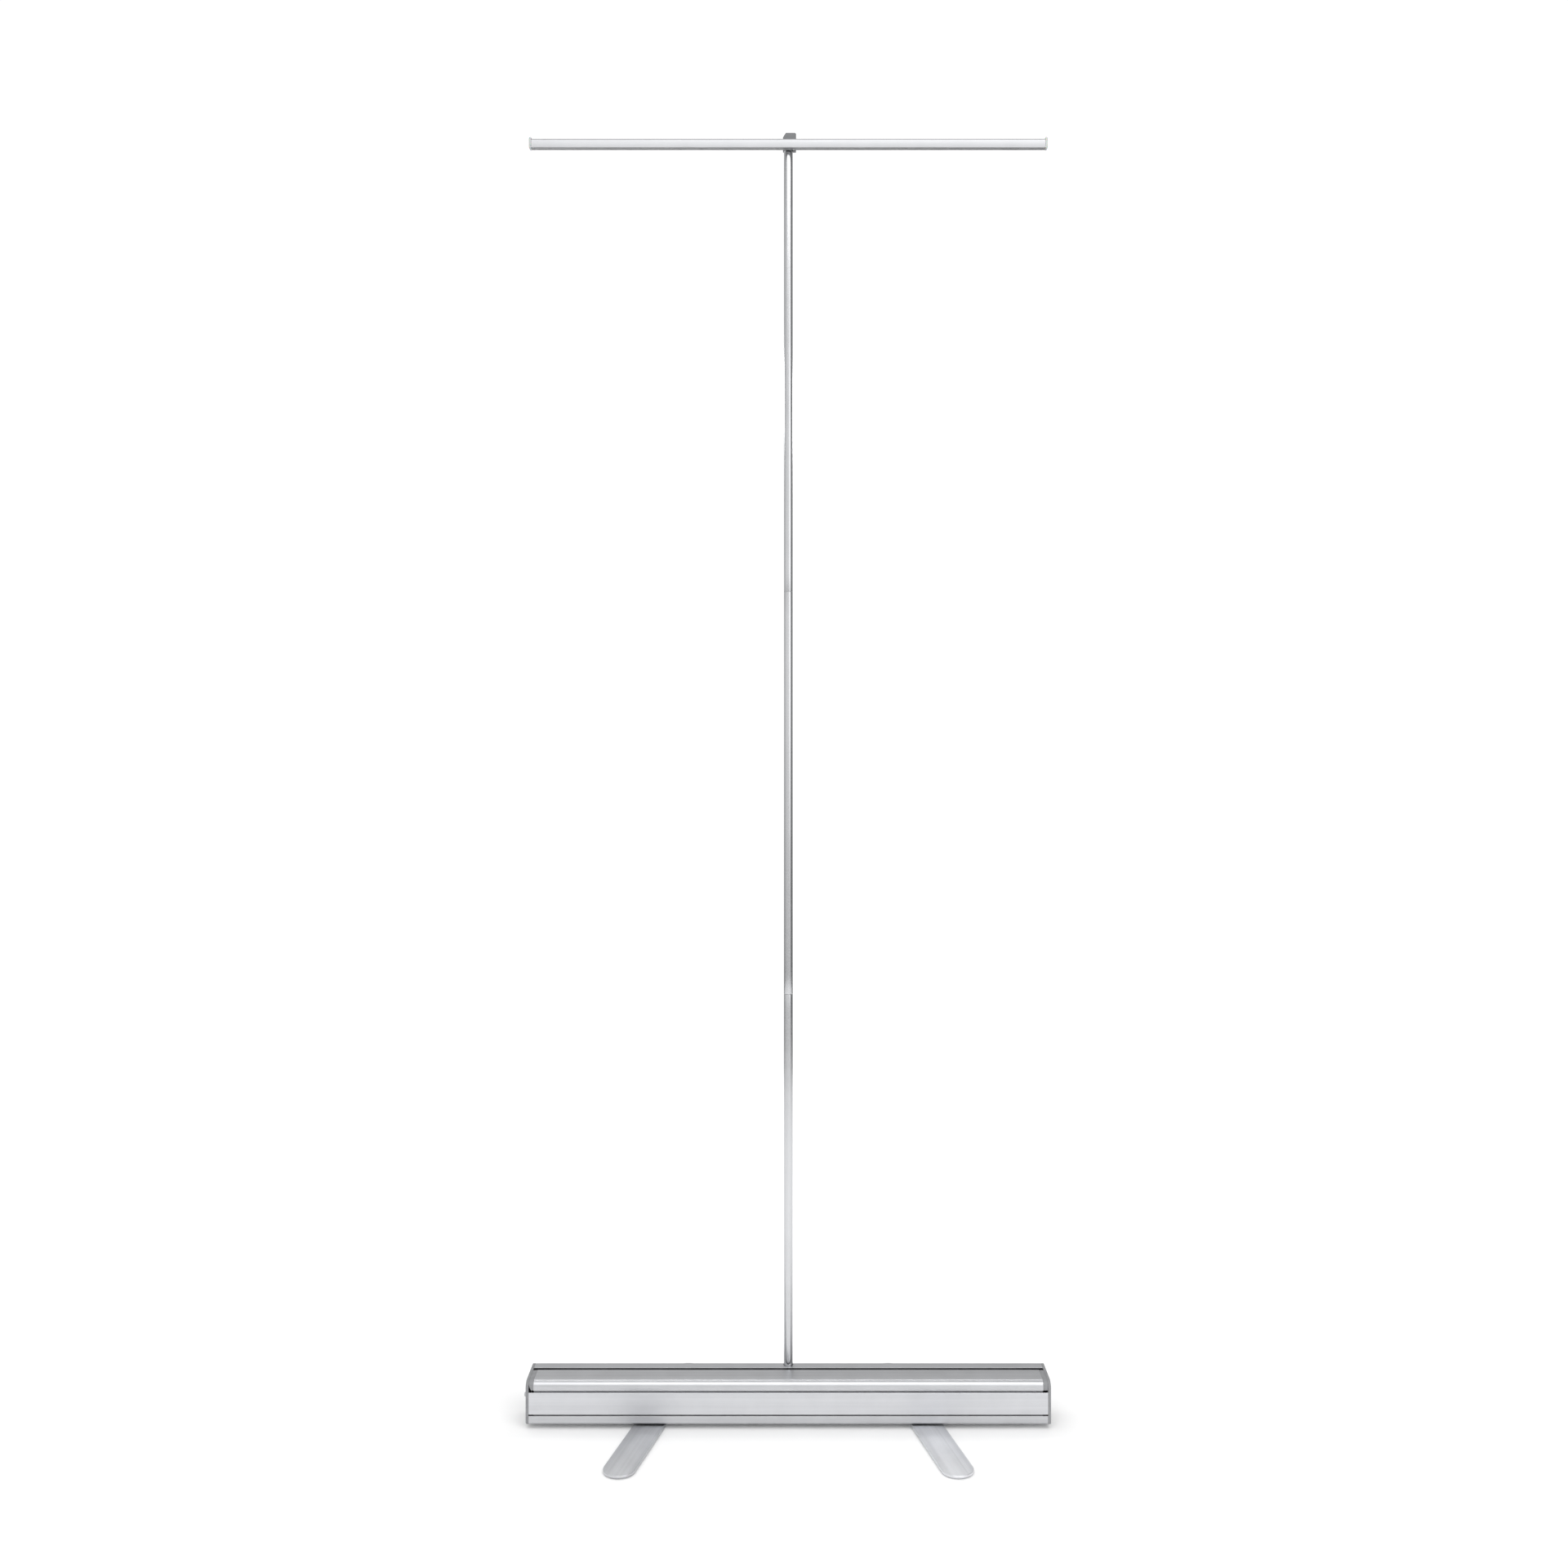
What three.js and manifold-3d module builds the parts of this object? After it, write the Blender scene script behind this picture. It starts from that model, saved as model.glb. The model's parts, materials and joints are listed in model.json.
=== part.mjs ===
// Roll-up (retractable) banner stand, standing ready for its graphic.
//
// Millimetres, +Z up. X runs along the base, the front faces -Y, the floor is Z = 0 and the
// origin lies on the floor under the middle of the base. A spring roller sits in an aluminium
// cassette on two swing-out feet. A three-piece pole stands in the cassette and carries the
// clamp rail that holds the top edge of the graphic.

import * as THREE from 'three';
import { mergeVertices } from 'three/addons/utils/BufferGeometryUtils.js';
import Module from 'manifold-3d';

const wasm = await Module();
wasm.setup();

// ---------------------------------------------------------------- driving dimensions

const fit = 0.3; // gap left where two pieces seat or slide on each other

// cassette
const baseLength = 860; // over both end caps
const baseDepth = 80;
const baseHeight = 70.5; // underside to flat top
const wall = 1.8; // wall of the extrusions
const toeChamfer = 3.5; // lower front edge
const heelRadius = 3; // lower rear edge
const rearRadius = 10; // upper rear edge
const shoulderRadius = 11.6; // rounded front shoulder of the top cover
const shoulderStep = 1; // the shoulder stands this far behind the front panel
const shoulderDrop = 14.7; // flat top down to the shoulder's lower edge
const panelGap = 3.1; // open joint between the shoulder and the front panel
const stripHeight = 14.6; // toe strip under the groove
const panelThickness = 1.7;
const panelEdge = 1.2; // rounding of the panel's upper edge
const grooveHeight = 2.3; // open joint between the front panel and the toe strip
const ribLength = 1.5; // snap ribs of the panel and of the skirt behind it
const ribThickness = 1.5;
const ribSetback = 4.5; // panel edge to its snap rib
const skirtThickness = 1.5;
const partitionThickness = 1.4; // wall between the roller chamber and the pole channel
const slotWidth = 8; // slot that the graphic leaves through
const slotSetback = 2.5; // rear lip of the slot, in front of the partition
const slotLip = 3.4; // depth of the turned-down front lip
const portRadius = 4.2; // screw ports of the extrusions
const portSink = 0.6; // how far a port merges into its wall

// end caps and their screws
const capThickness = 4.5;
const coverSetback = 8; // the top cover stops this far short of each cap
const rimInset = 0.6; // the cap's rim lies this far under the cover's surface
const rimThickness = 2;
const reliefShare = 0.55; // finger relief's share of the cover's setback
const screwRadius = 1.7;
const screwLength = 15;
const screwHeadRadius = 3.6;
const screwHeadHeight = 2.1;
const driveRadius = 1.5; // hexagon socket of the screw head
const driveDepth = 1.3;
const screwCrownShare = 0.6; // share of the head's height below its rounded edge
const screwCrownRadius = 0.8; // share of the head's radius that is flat on top

// feet
const footLength = 416;
const footWidth = 51;
const footThickness = 4;
const footEdge = 0.8; // bevel round the foot
const footPivotX = 220;
const footSplay = THREE.MathUtils.degToRad(13); // swung out, short of square to the base
const washerThickness = 1.1;
const washerRadius = 16;
const rivetRadius = 4;
const rivetHeadRadius = 7;
const rivetHeadHeight = 1.1;
const rivetTopHeight = 1.8;
const padThickness = 1.5;
const padRadius = 9;
const padInset = 22; // tip of the foot to the middle of its pad

// roller and spring
const rollerRadius = 15;
const rollerWall = 1.4;
const rollerEndRoom = 20.5; // cap's inner face to the end of the tube
const plugFlange = 6;
const plugDepth = 18;
const holderPlate = 4; // flange of the spindle holder and of the bearing bush
const holderHalfWidth = 15;
const bossRadius = 6;
const bossLength = 8.2;
const spindleSquare = 6;
const shaftRadius = 3.6;
const springShaftLength = 270;
const springRadius = 8;
const innerBearingLength = 14;
const leaderThickness = 0.6;
const leaderMargin = 14; // bare tube left at each end
const lockCircle = 9; // locking pin's distance from the roller axis
const lockAngle = THREE.MathUtils.degToRad(-15); // below the axis, towards the rear
const lockRadius = 2;
const lockBite = 2.6; // how deep the pin's tip stands in the roller's groove
const lockKnobRadius = 3.5;
const lockKnobLength = 8;
const lockEdge = 1; // bevels of the pin's tip and knob

// pole
const poleRadius = 7.5;
const poleWall = 1;
const poleClearance = 0.4; // pole in its socket and in the rail hanger
const sectionLength = 675; // lower and middle sections
const upperLength = 760;
const socketWall = 1.6;
const socketSide = 4.1; // socket wall at its left and right
const socketFloor = 5;
const plugHead = 2.7; // plastic plugs at both ends of the pole
const plugEdge = 1; // bevel of the plugs' ends
const plugStem = 22;
const ferruleLength = 80;
const ferruleSeat = 30; // length held in the section below
const ferruleWall = 1.4;
const cordRadius = 2;

// clamp rail
const railLength = 864.6; // over both rail caps
const railDepth = 12.4;
const railHeight = 15.6;
const railCapThickness = 3.6;
const railCapRise = 2.4; // the caps stand this far above the rail
const railCapPlug = 15;
const jawThickness = 1.8;
const beadRadius = 1.6; // hinge bead of the rear jaw
const clawRadius = 3.4; // claw of the front jaw round the bead
const gripGap = 0.6; // gap that clamps the graphic
const gripLip = 1.1; // the rear jaw's lower lip reaches this far forward
const jawEdge = 0.5; // small bevels of the jaws
const clawTopAngle = 80; // degrees about the bead, where the claw ends above it
const clawEndAngle = 262; // and below it
const pocketEndAngle = 41; // end of the claw's pocket in the rear jaw
const grooveDepth = 3.4; // T-groove in the back of the rear jaw
const grooveLip = 1.2;
const grooveBack = 1.2; // wall between the T-groove and the clamping channel
const grooveHeadHeight = 9; // T-groove behind its lips
const grooveMouthHeight = 6;
const hangerSide = 3.1; // hanger wall at its left and right
const hangerFrontWall = 2.5; // hanger wall between the pole and the rail
const hangerShift = 2; // the hanger sits this far to the right of the pole
const hangerRise = 14; // above the rail
const hangerRoof = 4.5;
const hangerWall = 2;
const hangerRamp = 4.8;
const hangerRampDrop = 7.5;
const hangerCorner = 2.6;
const railCapCorner = 3;

// ---------------------------------------------------------------- derived places

const frontY = -baseDepth / 2;
const rearY = baseDepth / 2;
const footBottom = padThickness + fit;
const footTop = footBottom + footThickness;
const baseBottom = footTop + fit + washerThickness + fit;
const baseTop = baseBottom + baseHeight;
const floorTop = baseBottom + wall;
const roofBottom = baseTop - wall;

const capInnerX = baseLength / 2 - capThickness;
const shellHalf = capInnerX - fit;
const coverHalf = capInnerX - coverSetback;

const shoulderBottom = baseTop - shoulderDrop;
const panelTop = shoulderBottom - panelGap;
const stripTop = baseBottom + stripHeight;
const panelBottom = stripTop + grooveHeight;
const skirtFront = frontY + panelThickness + ribLength + fit;
const skirtBack = skirtFront + skirtThickness;
const toeInner = toeChamfer + wall * (Math.SQRT2 - 1); // keeps the wall's thickness in the toe
const skirtBottom = baseBottom + toeInner + wall - (skirtFront - frontY) + fit;

const poleY = rearY - wall - fit - socketWall - poleClearance - poleRadius;
const socketFront = poleY - poleRadius - poleClearance - socketWall;
const partitionRear = socketFront - fit;
const partitionFront = partitionRear - partitionThickness;
const slotRear = partitionFront - slotSetback;
const slotFront = slotRear - slotWidth;

const rollerY = (skirtBack + partitionFront) / 2;
const rollerZ = (floorTop + roofBottom) / 2;
const tubeHalf = capInnerX - rollerEndRoom;
const flangeOuterX = tubeHalf + fit + plugFlange;
const lockY = rollerY + lockCircle * Math.cos(lockAngle);
const lockZ = rollerZ + lockCircle * Math.sin(lockAngle);

const portDrop = portRadius - portSink;
const ports = {
  shellToe: [skirtBack + fit + portRadius, floorTop + portDrop],
  shellHeel: [rearY - wall - portDrop, floorTop + portDrop],
  coverShoulder: [skirtBack + portDrop, baseTop - shoulderRadius],
  coverLip: [slotFront - portRadius - wall, roofBottom - portDrop],
};
const portHole = screwRadius + fit;

const socketBottom = ports.shellHeel[1] + portRadius + fit;
const socketTop = baseTop - rearRadius - fit;
const plugBottom = socketBottom + socketFloor + fit;
const lowerBottom = plugBottom + plugHead + fit;
const lowerTop = lowerBottom + sectionLength;
const middleBottom = lowerTop + fit;
const middleTop = middleBottom + sectionLength;
const upperBottom = middleTop + fit;
const upperTop = upperBottom + upperLength;
const plugTop = upperTop + fit + plugHead;
const hangerBoreTop = plugTop + fit;
const hangerTop = hangerBoreTop + hangerRoof;
const railTop = hangerTop - hangerRise;
const railBottom = railTop - railHeight;
const railY = poleY - poleRadius - poleClearance - hangerFrontWall - fit - railDepth;
const railCapInner = railLength / 2 - railCapThickness;
const jawHalf = railCapInner - fit;

// T-groove in the back of the rear jaw, half-way up, measured from the rail's front and underside
const groove = {
  floor: railDepth - grooveDepth,
  lip: railDepth - grooveLip,
  low: (railHeight - grooveHeadHeight) / 2,
  high: (railHeight + grooveHeadHeight) / 2,
  mouthLow: (railHeight - grooveMouthHeight) / 2,
  mouthHigh: (railHeight + grooveMouthHeight) / 2,
};
const innerWallY = groove.floor - grooveBack;
const bead = { y: clawRadius, z: railHeight - clawRadius };

// ---------------------------------------------------------------- shape helpers

const roundSegments = 32;
const smallSegments = 20;
const arcDivisions = 5;

/** Turns a geometry into a Manifold solid. */
function solid(geometry) {
  const bare = geometry.clone();
  bare.deleteAttribute('normal');
  bare.deleteAttribute('uv');
  const merged = mergeVertices(bare, 1e-4);
  const corners = [];
  for (let start = 0; start < merged.index.count; start += 3) {
    const triangle = [0, 1, 2].map((corner) => merged.index.getX(start + corner));
    if (new Set(triangle).size === triangle.length) {
      corners.push(...triangle); // a lathe leaves empty triangles where it meets its axis
    }
  }
  return new wasm.Manifold(new wasm.Mesh({
    numProp: 3,
    vertProperties: new Float32Array(merged.attributes.position.array),
    triVerts: new Uint32Array(corners),
  }));
}

/** Turns a Manifold solid back into a geometry with flat normals. */
function geometryOf(manifold) {
  const mesh = manifold.getMesh();
  const indexed = new THREE.BufferGeometry();
  const points = new Float32Array(mesh.numVert * 3);
  for (let vertex = 0; vertex < mesh.numVert; vertex += 1) {
    for (let axis = 0; axis < 3; axis += 1) {
      points[vertex * 3 + axis] = mesh.vertProperties[vertex * mesh.numProp + axis];
    }
  }
  indexed.setAttribute('position', new THREE.BufferAttribute(points, 3));
  indexed.setIndex([...mesh.triVerts]);
  const flat = indexed.toNonIndexed();
  flat.computeVertexNormals();
  return flat;
}

/** Hollows the body, joins the extras to it and then cuts every tool from it. */
function carve(body, tools, extras = [], hollow = null) {
  let result = solid(body);
  if (hollow) {
    result = result.subtract(solid(hollow));
  }
  for (const extra of extras) {
    result = result.add(solid(extra));
  }
  for (const tool of tools) {
    result = result.subtract(solid(tool));
  }
  return geometryOf(result);
}

/** Closed outline from corner points. */
function polygon(points) {
  return new THREE.Shape(points.map(([u, v]) => new THREE.Vector2(u, v)));
}

/** Extrudes a (y, z) section along X from one place to another. */
function alongX(shape, fromX, toX) {
  const geometry = new THREE.ExtrudeGeometry(shape, {
    depth: toX - fromX,
    bevelEnabled: false,
    curveSegments: arcDivisions,
  });
  const turn = new THREE.Matrix4().makeBasis(
    new THREE.Vector3(0, 1, 0),
    new THREE.Vector3(0, 0, 1),
    new THREE.Vector3(1, 0, 0),
  );
  return geometry.applyMatrix4(turn).translate(fromX, 0, 0);
}

/** Extrudes an (x, z) section along Y from one place to another. */
function alongY(shape, fromY, toY) {
  const geometry = new THREE.ExtrudeGeometry(shape, {
    depth: toY - fromY,
    bevelEnabled: false,
    curveSegments: arcDivisions,
  });
  return geometry.rotateX(Math.PI / 2).translate(0, toY, 0);
}

/** Box between two opposite corners. */
function block([x0, y0, z0], [x1, y1, z1]) {
  const geometry = new THREE.BoxGeometry(x1 - x0, y1 - y0, z1 - z0);
  return geometry.translate((x0 + x1) / 2, (y0 + y1) / 2, (z0 + z1) / 2);
}

/** Revolves a [radius, height] profile about the Z axis. */
function turnZ(profile, segments = roundSegments) {
  const points = profile.map(([radius, height]) => new THREE.Vector2(radius, height));
  return new THREE.LatheGeometry(points, segments).rotateX(Math.PI / 2);
}

/** Revolves a [radius, distance] profile about the X axis. */
function turnX(profile, segments = roundSegments) {
  const points = profile.map(([radius, distance]) => new THREE.Vector2(radius, distance));
  return new THREE.LatheGeometry(points, segments).rotateZ(-Math.PI / 2);
}

/** Profile of a solid rod of one radius. */
function rod(radius, from, to) {
  return [[0, from], [radius, from], [radius, to], [0, to]];
}

/** Profile of a tube. */
function pipe(outer, inner, from, to) {
  return [[inner, from], [outer, from], [outer, to], [inner, to], [inner, from]];
}

// ---------------------------------------------------------------- materials

/** One finish of the object. */
function finish(color, roughness, metalness) {
  return () => new THREE.MeshStandardMaterial({ color, roughness, metalness });
}

const satinAluminium = finish(0xc6c8cc, 0.35, 0.9);
const zincSteel = finish(0x9b9ea3, 0.4, 0.9);
const springSteel = finish(0x6f7276, 0.45, 0.9);
const greyPlastic = finish(0x8e9094, 0.55, 0);
const clearPlastic = finish(0xe4e6e8, 0.4, 0);
const blackPlastic = finish(0x2c2d2f, 0.6, 0);
const blackRubber = finish(0x202122, 0.85, 0);
const whiteFilm = finish(0xf1f1ee, 0.5, 0);

const stand = new THREE.Group();
stand.name = 'roll_up_banner_stand';

/** Adds a named piece to a group. */
function addPiece(name, geometry, material, parent = stand) {
  const mesh = new THREE.Mesh(geometry, material());
  mesh.name = name;
  parent.add(mesh);
  return mesh;
}

/** Adds a group placed at a point. */
function addGroup(x, y, z) {
  const group = new THREE.Group();
  group.position.set(x, y, z);
  stand.add(group);
  return group;
}

// ---------------------------------------------------------------- cassette

/** Traces the outer line from the toe round the rear to the flat top. */
function traceBack(shape) {
  shape.lineTo(frontY, baseBottom + toeChamfer);
  shape.lineTo(frontY + toeChamfer, baseBottom);
  shape.absarc(rearY - heelRadius, baseBottom + heelRadius, heelRadius, -Math.PI / 2, 0, false);
  shape.absarc(rearY - rearRadius, baseTop - rearRadius, rearRadius, 0, Math.PI / 2, false);
}

/** Port ring of an extrusion, and the hole for its screw. */
function portRing([y, z], half) {
  return turnX(rod(portRadius, -half, half), smallSegments).translate(0, y, z);
}
function portBore([y, z], half) {
  return turnX(rod(portHole, -half - fit, half + fit), smallSegments).translate(0, y, z);
}

function shellGeometry() {
  const section = new THREE.Shape();
  section.moveTo(frontY, stripTop);
  traceBack(section);
  section.lineTo(slotRear, baseTop);
  section.lineTo(slotRear, roofBottom);
  section.lineTo(partitionFront, roofBottom);
  section.lineTo(partitionFront, floorTop);
  section.lineTo(frontY + toeInner, floorTop);
  section.lineTo(frontY + wall, baseBottom + toeInner);
  section.lineTo(frontY + wall, stripTop);
  section.closePath();

  const channel = new THREE.Shape();
  const channelRadius = rearRadius - wall;
  channel.moveTo(partitionRear, floorTop);
  channel.lineTo(partitionRear, roofBottom);
  channel.absarc(rearY - rearRadius, baseTop - rearRadius, channelRadius, Math.PI / 2, 0, true);
  channel.lineTo(rearY - wall, floorTop);
  channel.closePath();

  const poleHole = turnZ(rod(poleRadius + poleClearance + fit, socketTop, baseTop + fit))
    .translate(0, poleY, 0);
  const rivetHoles = [-footPivotX, footPivotX].map((x) => turnZ(
    rod(rivetRadius + fit, baseBottom - fit, floorTop + fit),
  ).translate(x, 0, 0));
  return carve(
    alongX(section, -shellHalf, shellHalf),
    [portBore(ports.shellToe, shellHalf), portBore(ports.shellHeel, shellHalf), poleHole, ...rivetHoles],
    [portRing(ports.shellToe, shellHalf), portRing(ports.shellHeel, shellHalf)],
    alongX(channel, -shellHalf - fit, shellHalf + fit),
  );
}

function topCoverGeometry() {
  const arcY = frontY + shoulderStep + shoulderRadius;
  const arcZ = baseTop - shoulderRadius;
  const innerRadius = shoulderRadius - wall;
  const innerAngle = Math.acos((skirtBack - arcY) / innerRadius);
  const upperRib = panelTop - ribSetback + fit;
  const lowerRib = panelBottom + ribSetback - fit;
  const section = new THREE.Shape();
  section.moveTo(slotFront, baseTop);
  section.absarc(arcY, arcZ, shoulderRadius, Math.PI / 2, Math.PI, false);
  section.lineTo(frontY + shoulderStep, shoulderBottom);
  section.lineTo(skirtFront, shoulderBottom);
  for (const [top, bottom] of [
    [upperRib + ribThickness, upperRib],
    [lowerRib, lowerRib - ribThickness],
  ]) {
    section.lineTo(skirtFront, top);
    section.lineTo(skirtFront - ribLength, top);
    section.lineTo(skirtFront - ribLength, bottom);
    section.lineTo(skirtFront, bottom);
  }
  section.lineTo(skirtFront, skirtBottom);
  section.lineTo(skirtBack, skirtBottom);
  section.absarc(arcY, arcZ, innerRadius, innerAngle, Math.PI / 2, true);
  section.lineTo(slotFront, roofBottom);
  section.closePath();
  const lip = block(
    [-coverHalf, slotFront - wall, baseTop - slotLip],
    [coverHalf, slotFront, roofBottom + wall / 2],
  );
  return carve(
    alongX(section, -coverHalf, coverHalf),
    [portBore(ports.coverShoulder, coverHalf), portBore(ports.coverLip, coverHalf)],
    [portRing(ports.coverShoulder, coverHalf), portRing(ports.coverLip, coverHalf), lip],
  );
}

function frontPanelGeometry() {
  const back = frontY + panelThickness;
  const section = new THREE.Shape();
  section.moveTo(frontY, panelBottom);
  section.lineTo(back, panelBottom);
  for (const low of [panelBottom + ribSetback, panelTop - ribSetback - ribThickness]) {
    section.lineTo(back, low);
    section.lineTo(back + ribLength, low);
    section.lineTo(back + ribLength, low + ribThickness);
    section.lineTo(back, low + ribThickness);
  }
  section.lineTo(back, panelTop);
  section.absarc(frontY + panelEdge, panelTop - panelEdge, panelEdge, Math.PI / 2, Math.PI, false);
  section.closePath();
  return alongX(section, -shellHalf, shellHalf);
}

addPiece('cassette_shell', shellGeometry(), satinAluminium);
addPiece('top_cover', topCoverGeometry(), satinAluminium);
addPiece('front_panel', frontPanelGeometry(), satinAluminium);

// ---------------------------------------------------------------- end caps and screws

/** Band of the cap's rim under the cover, from the slot over the shoulder. */
function rimSection() {
  const arcY = frontY + shoulderStep + shoulderRadius;
  const arcZ = baseTop - shoulderRadius;
  const outer = shoulderRadius - rimInset;
  const inner = outer - rimThickness;
  const section = new THREE.Shape();
  section.moveTo(slotFront, baseTop - rimInset);
  section.absarc(arcY, arcZ, outer, Math.PI / 2, Math.PI, false);
  section.lineTo(arcY - outer, shoulderBottom);
  section.lineTo(arcY - inner, shoulderBottom);
  section.absarc(arcY, arcZ, inner, Math.PI, Math.PI / 2, true);
  section.lineTo(slotFront, baseTop - rimInset - rimThickness);
  section.closePath();
  return section;
}

/** End cap with its outer face at +X; the left one is its mirror image, open for the pin. */
function capGeometry(side) {
  const section = new THREE.Shape();
  section.moveTo(frontY, baseTop - shoulderRadius - shoulderStep);
  traceBack(section);
  section.absarc(
    frontY + shoulderStep + shoulderRadius,
    baseTop - shoulderRadius - shoulderStep,
    shoulderRadius + shoulderStep,
    Math.PI / 2,
    Math.PI,
    false,
  );
  const outerX = baseLength / 2;
  const rimX = coverHalf + fit;
  const plate = side > 0 ? alongX(section, capInnerX, outerX) : alongX(section, -outerX, -capInnerX);
  const rim = side > 0 ? alongX(rimSection(), rimX, outerX - fit) : alongX(rimSection(), -outerX + fit, -rimX);

  const tools = Object.values(ports).flatMap(([y, z]) => [
    turnX(rod(screwRadius + fit, -fit, capThickness + fit), smallSegments),
    turnX(rod(screwHeadRadius + fit, capThickness - screwHeadHeight - fit, capThickness + fit), smallSegments),
  ].map((tool) => {
    const outward = side > 0 ? tool : tool.rotateZ(Math.PI);
    return outward.translate(side * capInnerX, y, z);
  }));
  if (side < 0) {
    const pinHole = turnX(rod(lockRadius + fit, -outerX - fit, -capInnerX + fit), smallSegments);
    tools.push(pinHole.translate(0, lockY, lockZ), reliefWedge());
  }
  return carve(plate, tools, [rim]);
}

/** Finger relief in the left cap's rim, widening downwards at the shoulder. */
function reliefWedge() {
  const wedge = polygon([
    [-capInnerX, baseTop - 3 * rimThickness],
    [-capInnerX, shoulderBottom - fit],
    [-capInnerX + coverSetback * reliefShare, shoulderBottom - fit],
  ]);
  return alongY(wedge, frontY, frontY + shoulderStep + shoulderRadius);
}

/** Screw with its head's underside at X = 0, pointing to -X. */
function screwGeometry() {
  const body = turnX([
    [0, -screwLength],
    [screwRadius, -screwLength + screwRadius],
    [screwRadius, 0],
    [screwHeadRadius, 0],
    [screwHeadRadius, screwHeadHeight * screwCrownShare],
    [screwHeadRadius * screwCrownRadius, screwHeadHeight],
    [0, screwHeadHeight],
  ], smallSegments);
  const drive = turnX(rod(driveRadius, screwHeadHeight - driveDepth, screwHeadHeight + fit), 6);
  return carve(body, [drive]);
}

for (const [side, label] of [[-1, 'left'], [1, 'right']]) {
  addPiece(`end_cap_${label}`, capGeometry(side), greyPlastic);
  Object.values(ports).forEach(([y, z], index) => {
    const seat = capInnerX + capThickness - screwHeadHeight;
    const screw = addPiece(`cap_screw_${label}_${index + 1}`, screwGeometry(), zincSteel);
    screw.position.set(side * seat, y, z);
    screw.rotation.z = side > 0 ? 0 : Math.PI;
  });
}

// ---------------------------------------------------------------- feet

function footGeometry() {
  const radius = footWidth / 2;
  const reach = footLength / 2 - radius;
  const outline = new THREE.Shape();
  outline.absarc(0, reach, radius, 0, Math.PI, false);
  outline.absarc(0, -reach, radius, Math.PI, 2 * Math.PI, false);
  outline.closePath();
  const bar = new THREE.ExtrudeGeometry(outline, {
    depth: footThickness - 2 * footEdge,
    bevelThickness: footEdge,
    bevelSize: footEdge,
    bevelOffset: -footEdge,
    bevelSegments: 1,
    curveSegments: smallSegments,
  }).translate(0, 0, footBottom + footEdge);
  return carve(bar, [turnZ(rod(rivetRadius + fit, 0, footTop + fit))]);
}

for (const [side, label] of [[-1, 'left'], [1, 'right']]) {
  const pivot = addGroup(side * footPivotX, 0, 0);
  addPiece(`foot_washer_${label}`, turnZ(
    pipe(washerRadius, rivetRadius + fit, footTop + fit, footTop + fit + washerThickness),
  ), blackPlastic, pivot);
  addPiece(`foot_rivet_${label}`, turnZ([
    [0, footBottom - fit - rivetHeadHeight],
    [rivetHeadRadius - rivetHeadHeight, footBottom - fit - rivetHeadHeight],
    [rivetHeadRadius, footBottom - fit],
    [rivetRadius, footBottom - fit],
    [rivetRadius, floorTop + fit],
    [rivetHeadRadius, floorTop + fit],
    [rivetHeadRadius - rivetTopHeight / 2, floorTop + fit + rivetTopHeight],
    [0, floorTop + fit + rivetTopHeight],
  ], smallSegments), zincSteel, pivot);

  const swing = addGroup(side * footPivotX, 0, 0);
  swing.rotation.z = side * footSplay;
  addPiece(`foot_${label}`, footGeometry(), satinAluminium, swing);
  for (const [end, place] of [[-1, 'front'], [1, 'rear']]) {
    const pad = addPiece(`foot_pad_${label}_${place}`, turnZ([
      [0, 0],
      [padRadius - padThickness / 2, 0],
      [padRadius, padThickness / 2],
      [padRadius, padThickness],
      [0, padThickness],
    ], smallSegments), blackRubber, swing);
    pad.position.y = end * (footLength / 2 - padInset);
  }
}

// ---------------------------------------------------------------- roller, spring and locking pin

const rollerBore = rollerRadius - rollerWall;
const roller = addGroup(0, rollerY, rollerZ);

addPiece('roller_tube', turnX(pipe(rollerRadius, rollerBore, -tubeHalf, tubeHalf)), satinAluminium, roller);

/** Wound leader film: a spiral lap that ends in a small step. */
function leaderGeometry() {
  const half = tubeHalf - leaderMargin;
  const inner = rollerRadius + fit;
  const steps = 48;
  const section = new THREE.Shape();
  for (let step = 0; step <= steps; step += 1) {
    const angle = (2 * Math.PI * step) / steps;
    const radius = inner + leaderThickness * (1 + step / steps);
    const point = [radius * Math.cos(angle), radius * Math.sin(angle)];
    if (step === 0) {
      section.moveTo(...point);
    } else {
      section.lineTo(...point);
    }
  }
  section.closePath();
  const bore = turnX(rod(inner, -half - fit, half + fit));
  return carve(alongX(section, -half, half), [bore]);
}

addPiece('leader_film', leaderGeometry(), whiteFilm, roller);

// end plugs turn with the tube; the left one has the groove that the locking pin stands in
const plugStart = tubeHalf - plugDepth;
addPiece('roller_plug_left', carve(
  turnX([
    [0, -flangeOuterX],
    [rollerRadius, -flangeOuterX],
    [rollerRadius, -tubeHalf - fit],
    [rollerBore - fit, -tubeHalf - fit],
    [rollerBore - fit, -plugStart],
    [0, -plugStart],
  ]),
  [
    turnX(rod(shaftRadius + fit, -flangeOuterX - fit, -plugStart + fit)),
    turnX(pipe(
      lockCircle + lockRadius + fit,
      lockCircle - lockRadius - fit,
      -flangeOuterX - fit,
      -flangeOuterX + lockBite + fit,
    )),
  ],
), greyPlastic, roller);

const idlerBack = plugStart + plugDepth / 2;
addPiece('roller_plug_right', carve(
  turnX([
    [0, plugStart],
    [rollerBore - fit, plugStart],
    [rollerBore - fit, tubeHalf + fit],
    [rollerRadius, tubeHalf + fit],
    [rollerRadius, flangeOuterX],
    [0, flangeOuterX],
  ]),
  [turnX(rod(shaftRadius + fit, idlerBack - fit, flangeOuterX + fit))],
), greyPlastic, roller);

const bossEndX = capInnerX - fit - holderPlate - bossLength;
addPiece('idler_pin', turnX(rod(shaftRadius, idlerBack, capInnerX - fit - holderPlate)), zincSteel, roller);

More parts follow.
